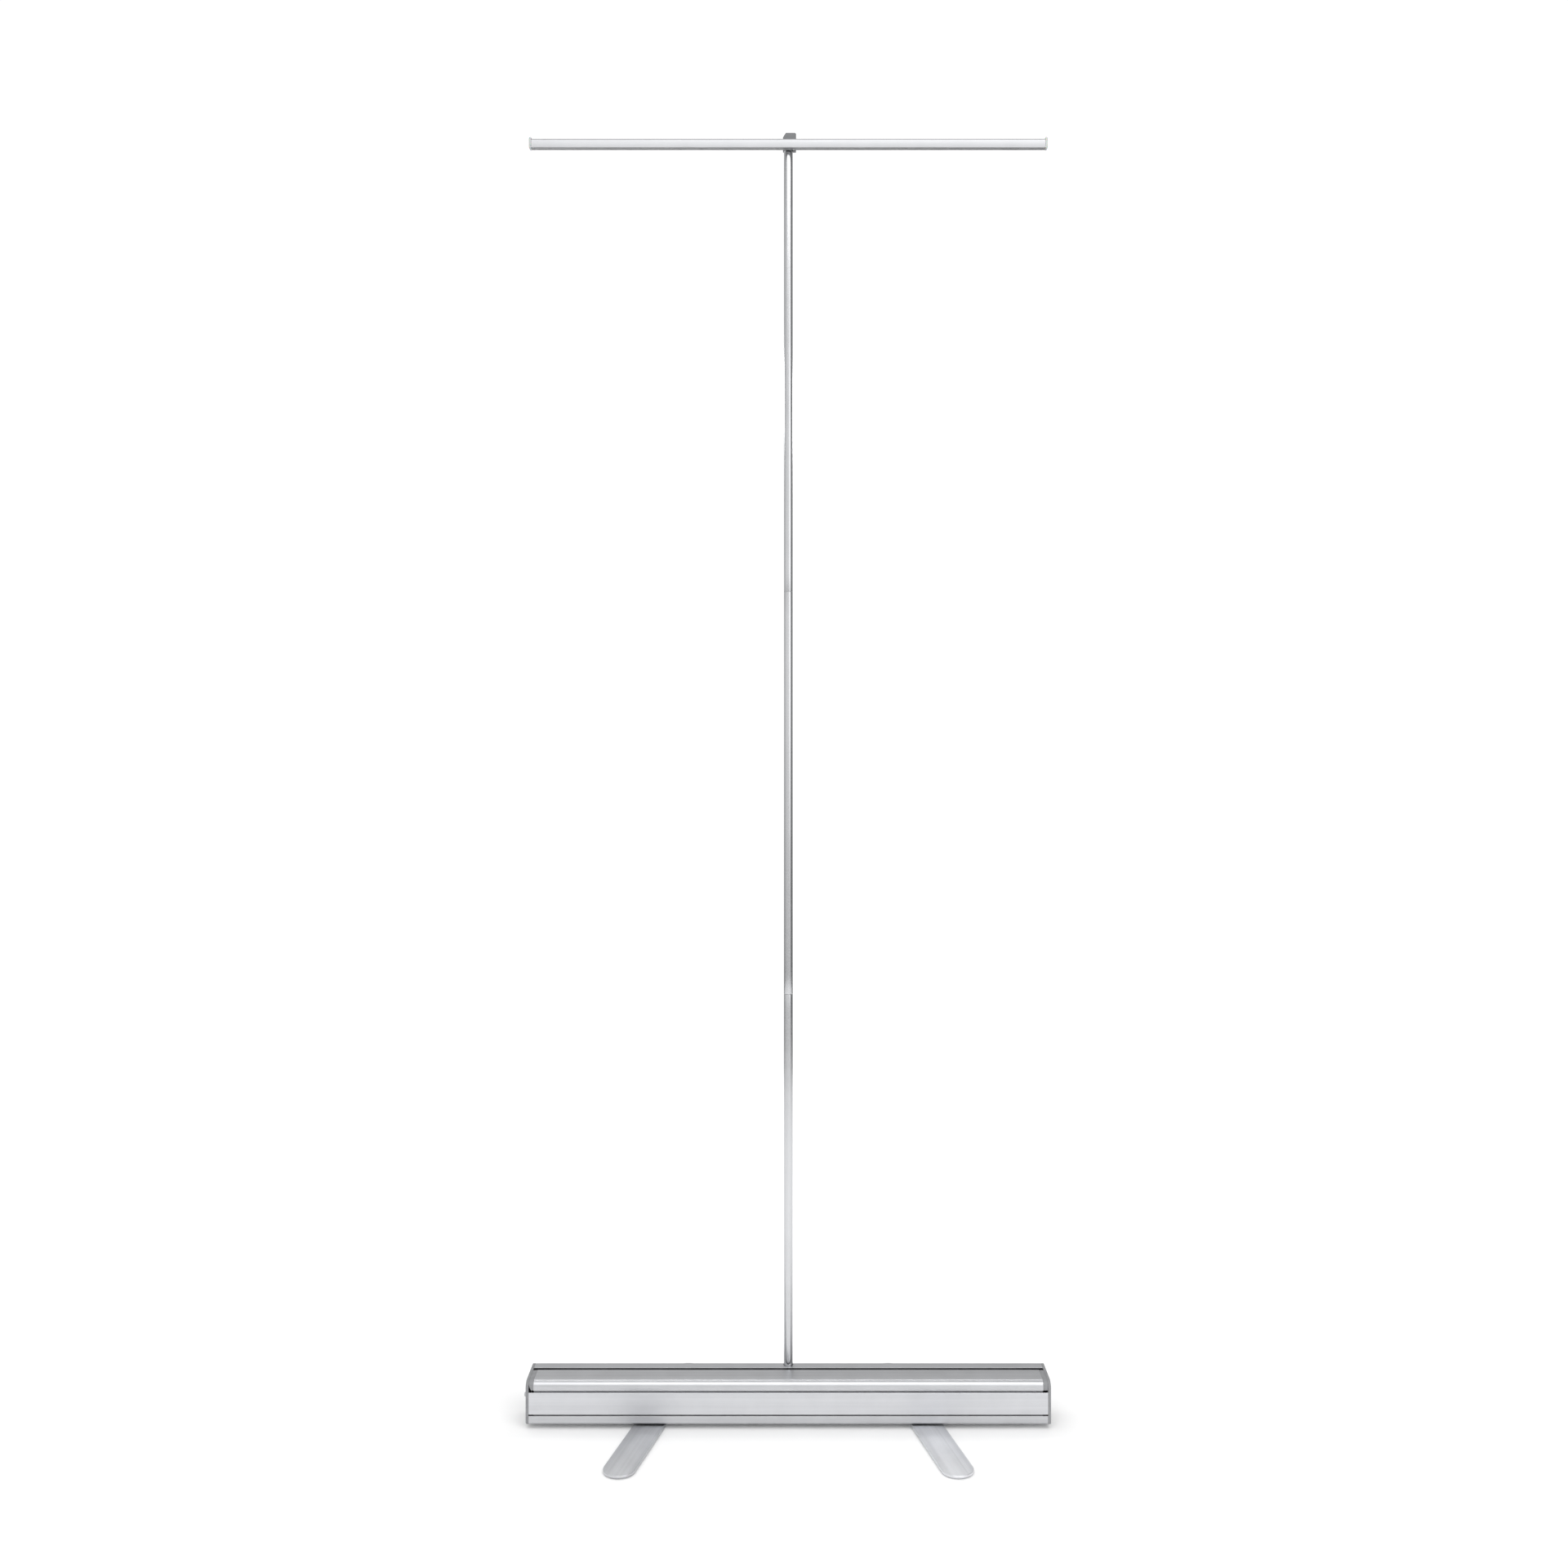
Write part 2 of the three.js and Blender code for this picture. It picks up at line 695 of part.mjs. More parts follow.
// spring: the shaft is held still by the square end, the far bearing turns with the tube
const shaftEndX = -bossEndX + springShaftLength;
const springBackX = shaftEndX - innerBearingLength;
addPiece('torsion_spring', turnX(pipe(
  springRadius,
  shaftRadius + fit,
  -plugStart + fit,
  springBackX - fit,
)), springSteel, roller);
addPiece('inner_bearing', turnX(pipe(
  rollerBore - fit,
  shaftRadius + fit,
  springBackX,
  shaftEndX - fit,
)), blackPlastic, roller);

/** Holder bolted inside a cap: a square flange and a round boss pointing to the roller. */
function holderGeometry(side, socket) {
  const plateOuter = capInnerX - fit;
  const plateInner = plateOuter - holderPlate;
  const size = holderHalfWidth;
  const plate = block([plateInner, -size, -size], [plateOuter, size, size]);
  const boss = turnX(rod(bossRadius, bossEndX, plateOuter - fit));
  const holder = carve(plate, [socket], [boss]);
  return side > 0 ? holder : holder.rotateZ(Math.PI);
}

const socketSize = spindleSquare / 2 + fit;
const pinWayY = -lockCircle * Math.cos(lockAngle);
const pinWay = turnX(rod(lockRadius + fit, bossEndX, capInnerX), smallSegments)
  .translate(0, pinWayY, lockZ - rollerZ);
const squareSocket = block(
  [bossEndX - fit, -socketSize, -socketSize],
  [bossEndX + bossLength, socketSize, socketSize],
);
addPiece('spindle_holder', geometryOf(
  solid(holderGeometry(1, squareSocket)).subtract(solid(pinWay)),
).rotateZ(Math.PI), greyPlastic, roller);
addPiece('bearing_bush', holderGeometry(
  1,
  turnX(rod(shaftRadius + fit, bossEndX - fit, capInnerX - fit - holderPlate + fit)),
), blackPlastic, roller);

const squareEnd = -bossEndX - bossLength + fit;
const squareHalf = spindleSquare / 2;
addPiece('spring_shaft', carve(
  turnX(rod(shaftRadius, -bossEndX + fit, shaftEndX)),
  [],
  [block([squareEnd, -squareHalf, -squareHalf], [-bossEndX + 3 * fit, squareHalf, squareHalf])],
), zincSteel, roller);

// locking pin: stands in the groove of the left plug, knob outside the left cap
const lockTip = -flangeOuterX + lockBite;
const knobX = -baseLength / 2 - fit;
const lock = addGroup(0, lockY, lockZ);
addPiece('locking_pin', turnX([
  [0, knobX - lockKnobLength],
  [lockKnobRadius - lockEdge, knobX - lockKnobLength],
  [lockKnobRadius, knobX - lockKnobLength + lockEdge],
  [lockKnobRadius, knobX],
  [lockRadius, knobX],
  [lockRadius, lockTip - lockEdge],
  [lockRadius - lockEdge, lockTip],
  [0, lockTip],
], smallSegments), zincSteel, lock);

// ---------------------------------------------------------------- pole

const pole = addGroup(0, poleY, 0);
const poleBore = poleRadius - poleWall;

const socketBore = poleRadius + poleClearance;
const socketHalf = socketBore + socketSide;
addPiece('pole_socket', carve(
  block(
    [-socketHalf, -socketBore - socketWall, socketBottom],
    [socketHalf, socketBore + socketWall, socketTop],
  ),
  [turnZ(rod(socketBore, socketBottom + socketFloor, socketTop + fit))],
), greyPlastic, pole);

for (const [name, from, to] of [
  ['pole_lower', lowerBottom, lowerTop],
  ['pole_middle', middleBottom, middleTop],
  ['pole_upper', upperBottom, upperTop],
]) {
  addPiece(name, turnZ(pipe(poleRadius, poleBore, from, to)), satinAluminium, pole);
}

const ferruleRadius = poleBore - fit;
for (const [name, joint] of [['pole_ferrule_lower', lowerTop], ['pole_ferrule_upper', middleTop]]) {
  const bottom = joint - ferruleSeat;
  addPiece(name, turnZ(
    pipe(ferruleRadius, ferruleRadius - ferruleWall, bottom, bottom + ferruleLength),
  ), satinAluminium, pole);
}

addPiece('pole_foot_plug', turnZ([
  [0, plugBottom],
  [poleRadius - plugEdge, plugBottom],
  [poleRadius, plugBottom + plugEdge],
  [poleRadius, plugBottom + plugHead],
  [ferruleRadius, plugBottom + plugHead],
  [ferruleRadius, plugBottom + plugStem],
  [0, plugBottom + plugStem],
]), greyPlastic, pole);
addPiece('pole_top_plug', turnZ([
  [0, plugTop - plugStem],
  [ferruleRadius, plugTop - plugStem],
  [ferruleRadius, upperTop + fit],
  [poleRadius, upperTop + fit],
  [poleRadius, plugTop - plugEdge],
  [poleRadius - plugEdge, plugTop],
  [0, plugTop],
]), greyPlastic, pole);
addPiece('shock_cord', turnZ(
  rod(cordRadius, plugBottom + plugStem + fit, plugTop - plugStem - fit),
  12,
), blackRubber, pole);

// ---------------------------------------------------------------- clamp rail

const rail = addGroup(0, railY, railBottom);

/** Point on a circle about the hinge bead. */
function roundBead(radius, degrees) {
  const angle = THREE.MathUtils.degToRad(degrees);
  return [bead.y + radius * Math.cos(angle), bead.z + radius * Math.sin(angle)];
}

function rearJawSection() {
  const webHalf = beadRadius / 2;
  const pocket = clawRadius + fit;
  const webAngle = Math.asin(webHalf / beadRadius);
  const pocketStart = Math.asin(webHalf / pocket);
  const pocketEnd = THREE.MathUtils.degToRad(pocketEndAngle);
  const gripY = innerWallY - gripLip;
  const section = new THREE.Shape();
  section.moveTo(gripY, 0);
  section.lineTo(railDepth - jawEdge, 0);
  section.lineTo(railDepth, jawEdge);
  section.lineTo(railDepth, groove.mouthLow);
  section.lineTo(groove.lip, groove.mouthLow);
  section.lineTo(groove.lip, groove.low);
  section.lineTo(groove.floor, groove.low);
  section.lineTo(groove.floor, groove.high);
  section.lineTo(groove.lip, groove.high);
  section.lineTo(groove.lip, groove.mouthHigh);
  section.lineTo(railDepth, groove.mouthHigh);
  section.lineTo(railDepth, railHeight - jawEdge);
  section.lineTo(railDepth - jawEdge, railHeight);
  section.lineTo(bead.y + pocket * Math.cos(pocketEnd), railHeight);
  section.absarc(bead.y, bead.z, pocket, pocketEnd, pocketStart, true);
  section.absarc(bead.y, bead.z, beadRadius, webAngle, 2 * Math.PI - webAngle, false);
  section.lineTo(innerWallY, bead.z - webHalf);
  section.lineTo(innerWallY, jawThickness);
  section.lineTo(gripY, jawThickness);
  section.closePath();
  return section;
}

function frontJawSection() {
  const clawBore = beadRadius + fit;
  const [clawTop, clawEnd] = [clawTopAngle, clawEndAngle].map(THREE.MathUtils.degToRad);
  const gripY = innerWallY - gripLip - gripGap;
  const section = new THREE.Shape();
  section.absarc(bead.y, bead.z, clawRadius, clawTop, Math.PI, false);
  section.lineTo(0, jawEdge);
  section.lineTo(jawEdge, 0);
  section.lineTo(gripY, 0);
  section.lineTo(gripY, jawThickness);
  section.lineTo(jawThickness, jawThickness);
  section.lineTo(jawThickness, bead.z - clawRadius);
  section.lineTo(...roundBead(clawRadius, clawEndAngle));
  section.absarc(bead.y, bead.z, clawBore, clawEnd, clawTop, true);
  section.closePath();
  return section;
}

addPiece('rail_rear_jaw', alongX(rearJawSection(), -jawHalf, jawHalf), satinAluminium, rail);
addPiece('rail_front_jaw', alongX(frontJawSection(), -jawHalf, jawHalf), satinAluminium, rail);

/** Rail cap: a plate that stands above the rail, with a plug in the T-groove. */
function railCapGeometry(side) {
  const top = railHeight + railCapRise;
  const outer = railLength / 2;
  const front = new THREE.Shape();
  front.moveTo(railCapInner, -fit);
  front.lineTo(outer, -fit);
  front.absarc(outer - railCapCorner, top - railCapCorner, railCapCorner, 0, Math.PI / 2, false);
  front.lineTo(railCapInner, top);
  front.closePath();
  const plug = block(
    [railCapInner - railCapPlug, groove.floor + fit, groove.low + fit],
    [railCapInner + 1, groove.lip - fit, groove.high - fit],
  );
  const cap = carve(alongY(front, -fit, railDepth + fit), [], [plug]);
  return side > 0 ? cap : mirrored(cap);
}

/** Mirror image in X, with its faces turned back outwards. */
function mirrored(geometry) {
  const flipped = geometry.clone().scale(-1, 1, 1);
  const points = flipped.attributes.position;
  for (let corner = 0; corner < points.count; corner += 3) {
    for (let axis = 0; axis < 3; axis += 1) {
      const second = points.getComponent(corner + 1, axis);
      points.setComponent(corner + 1, axis, points.getComponent(corner + 2, axis));
      points.setComponent(corner + 2, axis, second);
    }
  }
  flipped.computeVertexNormals();
  return flipped;
}

addPiece('rail_cap_left', railCapGeometry(-1), clearPlastic, rail);
addPiece('rail_cap_right', railCapGeometry(1), clearPlastic, rail);

/** Hanger: sits on the pole's top like a cap, held in the rail's T-groove. */
function hangerGeometry() {
  const half = poleRadius + poleClearance + hangerSide;
  const left = hangerShift - half;
  const right = hangerShift + half;
  const top = railHeight + hangerRise;
  const poleAt = poleY - railY;
  const face = new THREE.Shape();
  face.moveTo(left, groove.low);
  face.lineTo(right, groove.low);
  face.absarc(right - hangerCorner, top - hangerCorner, hangerCorner, 0, Math.PI / 2, false);
  face.lineTo(left + hangerRamp, top);
  face.lineTo(left, top - hangerRampDrop);
  face.closePath();
  const back = poleAt + poleRadius + poleClearance + hangerWall;
  const neck = block(
    [left, groove.lip - fit - 0.1, groove.mouthLow + fit],
    [right, railDepth + fit + 0.1, groove.mouthHigh - fit],
  );
  const head = block(
    [left, groove.floor + fit, groove.low + fit],
    [right, groove.lip - fit, groove.high - fit],
  );
  const bore = turnZ(rod(poleRadius + poleClearance, 0, hangerBoreTop - railBottom))
    .translate(0, poleAt, 0);
  return carve(alongY(face, railDepth + fit, back), [bore], [neck, head]);
}

addPiece('rail_hanger', hangerGeometry(), greyPlastic, rail);

export default stand;
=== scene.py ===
"""Retractable banner stand, standing ready for its graphic.

Aluminium cassette on two swing-out feet, a three-section pole behind the slot and a clamp rail on
the pole's top. Every visible piece is a surface worked out with numpy inside the box of its CAD
node; the pieces inside the roller keep their CAD meshes. Metres, +Z up, the front faces -Y.
"""

from __future__ import annotations

import sys

import json
import logging
import math
from dataclasses import dataclass
from enum import Enum
from typing import Any, Iterable, Sequence

import bmesh
import bpy
import numpy as np
from mathutils.geometry import tessellate_polygon
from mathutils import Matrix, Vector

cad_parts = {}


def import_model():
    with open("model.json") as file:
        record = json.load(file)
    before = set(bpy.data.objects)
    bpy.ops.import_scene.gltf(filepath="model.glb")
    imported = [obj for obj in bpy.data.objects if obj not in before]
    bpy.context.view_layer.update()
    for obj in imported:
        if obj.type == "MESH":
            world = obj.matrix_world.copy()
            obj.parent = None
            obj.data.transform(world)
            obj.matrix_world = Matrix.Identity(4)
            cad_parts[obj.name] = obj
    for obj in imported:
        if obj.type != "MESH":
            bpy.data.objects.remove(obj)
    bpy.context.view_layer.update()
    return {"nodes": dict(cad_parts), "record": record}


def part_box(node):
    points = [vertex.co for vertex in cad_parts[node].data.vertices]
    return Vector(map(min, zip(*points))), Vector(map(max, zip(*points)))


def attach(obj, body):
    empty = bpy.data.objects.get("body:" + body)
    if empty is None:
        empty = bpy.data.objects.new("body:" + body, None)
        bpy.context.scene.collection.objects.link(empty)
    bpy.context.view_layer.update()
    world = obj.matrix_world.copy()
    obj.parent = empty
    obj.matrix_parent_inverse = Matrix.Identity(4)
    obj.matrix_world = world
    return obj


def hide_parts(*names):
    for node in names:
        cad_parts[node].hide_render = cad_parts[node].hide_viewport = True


LOG = logging.getLogger("banner_stand")
MERGE = 1e-6  # points closer than this are one point
TINY = 1e-12  # shortest length that is divided by
SHARP = 34.0  # degrees between faces from which their edge stays sharp
PAST = 0.001  # how far a cutter reaches past the face that it cuts

Array = np.ndarray
Point = tuple[float, float]
Colour = tuple[float, float, float]


class Side(Enum):
    """End of the stand, as a sign along X."""

    LEFT = -1
    RIGHT = 1

    @property
    def label(self) -> str:
        """Name used in the pieces."""
        return self.name.lower()


class Lay(Enum):
    """Direction that the drawn lines of a metal run in, as scales along X, Y and Z."""

    ALONG_X = (0.004, 1.0, 1.0)
    ALONG_Y = (1.0, 0.004, 1.0)
    ALONG_Z = (1.0, 1.0, 0.004)
    NONE = (1.0, 1.0, 1.0)


class Turning(Enum):
    """Axis that a turned piece is made about."""

    X = "x"
    Z = "z"


# ------------------------------------------------------------------------------- flat lines


def corner(u: float, v: float, radius: float = 0.0) -> Array:
    """One corner of an outline, with the radius that rounds it."""
    return np.array([[u, v, radius]])


def arc(centre: Point, radius: float, start: float, end: float, count: int = 14) -> Array:
    """Points on a circle, as corners with no rounding of their own.

    Formula: u = centre u + radius * cos(angle), v = centre v + radius * sin(angle).

    Args:
        centre: Middle of the circle.
        radius: Its radius.
        start: First angle in degrees.
        end: Last angle in degrees.
        count: Number of points.

    Returns:
        Rows of u, v and a zero radius.
    """
    angle = np.radians(np.linspace(start, end, count))
    u = centre[0] + radius * np.cos(angle)
    v = centre[1] + radius * np.sin(angle)
    return np.stack([u, v, np.zeros(count)], axis=1)


def circle(centre: Point, radius: float, count: int = 32) -> Array:
    """Closed round line about a centre."""
    return arc(centre, radius, 0.0, 360.0 * (1 - 1 / count), count)[:, :2]


def around(count: int) -> Array:
    """Angles of one full turn in equal steps, without the last."""
    return np.linspace(0, 2 * math.pi, count, endpoint=False)


def outline(*parts: Array, steps: int = 4) -> Array:
    """Closed line through corners, each rounded by its own radius.

    Formula: half the angle between a corner's two edges gives the reach of its rounding,
    radius / tan(half angle). Where two reaches are longer than their edge, both shrink by the
    same share. The rounding runs about a centre on the angle's bisector, from one tangent point
    to the other in equal turns.

    Args:
        parts: Corners in order, as rows of u, v and radius.
        steps: Divisions of each rounding.

    Returns:
        Points of the line, with repeated points left out.
    """
    rows = np.vstack(parts)
    point, radius = rows[:, :2], rows[:, 2]
    before = np.roll(point, 1, axis=0) - point
    after = np.roll(point, -1, axis=0) - point
    edge = np.linalg.norm(after, axis=1)
    before /= np.maximum(np.linalg.norm(before, axis=1), TINY)[:, None]
    after /= np.maximum(edge, TINY)[:, None]
    half = np.arccos(np.clip((before * after).sum(axis=1), -1, 1)) / 2
    half = np.clip(half, 1e-4, math.pi / 2 - 1e-4)
    reach = radius / np.tan(half)
    share = np.minimum(1, edge / np.maximum(reach + np.roll(reach, -1), TINY))
    reach = reach * np.minimum(share, np.roll(share, 1))
    middle = before + after
    middle /= np.maximum(np.linalg.norm(middle, axis=1), TINY)[:, None]
    centre = point + middle * (reach * np.tan(half) / np.sin(half))[:, None]
    start = (point + before * reach[:, None] - centre)[:, None, :]
    end = (point + after * reach[:, None] - centre)[:, None, :]
    turn = (math.pi - 2 * half)[:, None, None]
    place = np.linspace(0, 1, steps + 1)[None, :, None]
    swing = (np.sin((1 - place) * turn) * start + np.sin(place * turn) * end) / np.sin(turn)
    line = (centre[:, None, :] + swing).reshape(-1, 2)
    gap = np.linalg.norm(line - np.roll(line, 1, axis=0), axis=1)
    return line[gap > MERGE]


def inset(line: Array, depth: float) -> Array:
    """Closed line moved inwards by a depth.

    Formula: each point moves along the sum of its two edges' inward normals, divided by one plus
    their dot product, which keeps both edges at the depth.
    """
    ahead = np.roll(line, -1, axis=0) - line
    ahead /= np.maximum(np.linalg.norm(ahead, axis=1), TINY)[:, None]
    normal = np.stack([-ahead[:, 1], ahead[:, 0]], axis=1)
    behind = np.roll(normal, 1, axis=0)
    blend = (normal + behind) / (1 + (normal * behind).sum(axis=1))[:, None]
    following = np.roll(line, -1, axis=0)
    area = (line[:, 0] * following[:, 1] - following[:, 0] * line[:, 1]).sum()
    return line + math.copysign(depth, area) * blend


def step(base: float, crest: float, start: float, end: float, radius: float = 0.0002) -> Array:
    """Four corners of a rib or notch: from its base out to its crest and back."""
    places = ((base, start), (crest, start), (crest, end), (base, end))
    return np.vstack([corner(u, v, radius) for u, v in places])


def rectangle(low: Point, high: Point, radius: float, steps: int = 4) -> Array:
    """Closed rectangle with rounded corners."""
    return outline(
        corner(low[0], low[1], radius),
        corner(high[0], low[1], radius),
        corner(high[0], high[1], radius),
        corner(low[0], high[1], radius),
        steps=steps,
    )


# ------------------------------------------------------------------------------- solid shapes


class Shape:
    """Points and faces of one piece, gathered from surfaces before they become a mesh."""

    def __init__(self, name: str) -> None:
        """Starts an empty shape with the piece's name."""
        self.name = name
        self.points: list[Array] = []
        self.faces: list[list[int]] = []
        self.count = 0

    def grid(self, surface: Array, wrap: bool = False) -> Shape:
        """Adds four-sided faces between neighbouring rings of a surface.

        Formula: ring i, place j joins (i, j), (i, j + 1), (i + 1, j + 1) and (i + 1, j), and the
        last place of a ring meets its first.

        Args:
            surface: Points by ring and by place in the ring.
            wrap: Whether the last ring meets the first.

        Returns:
            The shape itself.
        """
        rings, around = surface.shape[:2]
        index = self.count + np.arange(rings * around).reshape(rings, around)
        if wrap:
            index = np.vstack([index, index[:1]])
        side = np.roll(index, -1, axis=1)
        quads = np.stack([index[:-1], side[:-1], side[1:], index[1:]], axis=-1)
        self.faces += quads.reshape(-1, 4).tolist()
        self.points.append(surface.reshape(-1, 3))
        self.count += rings * around
        return self

    def lid(self, *loops: Array) -> Shape:
        """Fills the flat region inside the first loop and outside the others."""
        filled = tessellate_polygon([loop.tolist() for loop in loops])
        self.faces += (np.array(filled) + self.count).tolist()
        self.points += list(loops)
        self.count += sum(len(loop) for loop in loops)
        return self

    def mirrored(self, sign: int) -> Shape:
        """The shape itself, with its x times the sign of its side."""
        self.points = [points * np.array([sign, 1, 1]) for points in self.points]
        return self

    def piece(self, sharp: float = SHARP) -> bpy.types.Object:
        """Makes the object: doubles merged, faces outwards, smooth up to a sharp angle.

        Args:
            sharp: Degrees between faces from which their edge stays sharp.

        Returns:
            The new object, at the origin.
        """
        mesh = bpy.data.meshes.new(self.name)
        mesh.from_pydata(np.vstack(self.points).tolist(), [], self.faces)
        body = bmesh.new()
        body.from_mesh(mesh)
        bmesh.ops.remove_doubles(body, verts=body.verts[:], dist=MERGE)
        bmesh.ops.dissolve_degenerate(body, edges=body.edges[:], dist=MERGE / 10)
        bmesh.ops.recalc_face_normals(body, faces=body.faces[:])
        body.to_mesh(mesh)
        body.free()
        soften(mesh, sharp)
        made = bpy.data.objects.new(self.name, mesh)
        bpy.context.scene.collection.objects.link(made)
        return made


def soften(mesh: bpy.types.Mesh, sharp: float) -> None:
    """Smooth faces whose edges turn sharp from an angle in degrees."""
    mesh.shade_smooth()
    mesh.set_sharp_from_angle(angle=math.radians(sharp))


def sections(line: Array, places: Iterable[float], insets: Iterable[float]) -> list[Array]:
    """Copies of a flat line, each inset by its depth and put at its place."""
    return [
        np.column_stack([inset(line, depth) if depth else line, np.full(len(line), place)])
        for place, depth in zip(places, insets)
    ]


def swung(points: Array, order: Sequence[int]) -> Array:
    """Columns u, v and place put in another order, as x, y and z."""
    return points[..., list(order)]


ALONG_X = (2, 0, 1)  # an outline in y and z, drawn out along x
ALONG_Y = (0, 2, 1)  # an outline in x and z, drawn out along y
ALONG_Z = (0, 1, 2)  # an outline in x and y, drawn out along z


def drawn(
    name: str,
    loops: Sequence[Array],
    start: float,
    end: float,
    order: Sequence[int] = ALONG_X,
    edge: float = 0.0,
) -> Shape:
    """Profile with its hollows carried straight along an axis.

    Formula: every loop is repeated at the places start, start + edge, end - edge and end. Its
    first and last copies are inset by the edge, which breaks the corners of the cut ends.

    Args:
        name: Name of the piece.
        loops: Outer line first, then its hollows.
        start: First place on the axis.
        end: Last place on the axis.
        order: Order of u, v and place in x, y and z.
        edge: Size of the broken corner at both ends.

    Returns:
        The closed shape.
    """
    shape = Shape(name)
    places = [start, start + edge, end - edge, end] if edge else [start, end]
    first, last = [], []
    for number, line in enumerate(loops):
        depth = edge if number == 0 else -edge
        depths = [depth, 0.0, 0.0, depth] if edge else [0.0, 0.0]
        rings = [swung(ring, order) for ring in sections(line, places, depths)]
        shape.grid(np.stack(rings))
        first.append(rings[0])
        last.append(rings[-1])
    return shape.lid(*first).lid(*last)


def turned_surface(
    profile: Array, about: Turning, centre: Sequence[float], count: int, ripple: Array | None = None
) -> Array:
    """Profile of radius and distance turned about an axis.

    Formula: about Z a point is (x + r cos a, y + r sin a, z + d); about X it is
    (x + d, y + r cos a, z + r sin a). A ripple multiplies r for each profile point and angle.
    """
    angle = around(count)
    radius = profile[:, :1] * (np.ones((1, count)) if ripple is None else ripple)
    distance = np.repeat(profile[:, 1:2], count, axis=1)
    parts = [radius * np.cos(angle), radius * np.sin(angle), distance]
    order = (0, 1, 2) if about is Turning.Z else (2, 0, 1)
    return np.stack([parts[k] for k in order], axis=-1) + np.array(centre)


def turned(
    name: str,
    profile: Array,
    about: Turning,
    centre: Sequence[float],
    count: int = 48,
    tube: bool = False,
) -> Shape:
    """Turned piece; a tube's profile closes on itself, a solid's starts and ends on the axis."""
    return Shape(name).grid(turned_surface(profile, about, centre, count), wrap=tube)


def drill(
    name: str, radius: float, ends: Point, about: Turning, centre: Sequence[float]
) -> Shape:
    """Plain round cutter between two places on its axis."""
    line = outline(
        corner(0.0, ends[0]), corner(radius, ends[0]), corner(radius, ends[1]), corner(0.0, ends[1])
    )
    return turned(name, line, about, centre, 32)


def carved(
    body: bpy.types.Object,
    cutters: Sequence[Shape],
    joined: Sequence[Shape] = (),
    sharp: float = SHARP,
) -> bpy.types.Object:
    """Joins shapes to a body, cuts others out of it and keeps the result as its mesh.

    Args:
        body: Object that is changed.
        cutters: Shapes that are taken away.
        joined: Shapes that are added first.
        sharp: Degrees from which an edge stays sharp.

    Returns:
        The body.
    """
    for operation, shapes in (("UNION", joined), ("DIFFERENCE", cutters)):
        for shape in shapes:
            tool = shape.piece()
            modifier = body.modifiers.new(shape.name, "BOOLEAN")
            modifier.operation, modifier.solver, modifier.object = operation, "EXACT", tool
            graph = bpy.context.evaluated_depsgraph_get()
            mesh = bpy.data.meshes.new_from_object(body.evaluated_get(graph))
            body.modifiers.clear()
            body.data = mesh
            bpy.data.objects.remove(tool)
    soften(body.data, sharp)
    return body


# ------------------------------------------------------------------------------- shader maths


class Value:
    """Number on a shader socket. Sums, products and powers of values add their Math nodes."""

    def __init__(self, tree: bpy.types.NodeTree, socket: bpy.types.NodeSocket) -> None:
        """Wraps a socket of a node tree."""
        self.tree = tree
        self.socket = socket

    def math(self, operation: str, *terms: Value | float, clamp: bool = False) -> Value:
        """Adds one Math node on the given terms."""
        node = self.tree.nodes.new("ShaderNodeMath")
        node.operation, node.use_clamp = operation, clamp
        for place, term in enumerate(terms):
            if isinstance(term, Value):
                self.tree.links.new(term.socket, node.inputs[place])
            else:
                node.inputs[place].default_value = term
        return Value(self.tree, node.outputs[0])

    def __add__(self, other: Value | float) -> Value:
        """Sum."""
        return self.math("ADD", self, other)

    __radd__ = __add__

    def __sub__(self, other: Value | float) -> Value:
        """Difference."""
        return self.math("SUBTRACT", self, other)

    def __rsub__(self, other: float) -> Value:
        """Difference with the number first."""
        return self.math("SUBTRACT", other, self)

    def __mul__(self, other: Value | float) -> Value:
        """Product."""
        return self.math("MULTIPLY", self, other)

    __rmul__ = __mul__

    def __truediv__(self, other: Value | float) -> Value:
        """Quotient."""
        return self.math("DIVIDE", self, other)

    def __pow__(self, other: float) -> Value:
        """Power."""
        return self.math("POWER", self, other)

    def over(self, limit: float, width: float) -> Value:
        """Rises from 0 at the limit to 1 at the limit plus the width."""
        return self.math("MULTIPLY", self - limit, 1 / width, clamp=True)


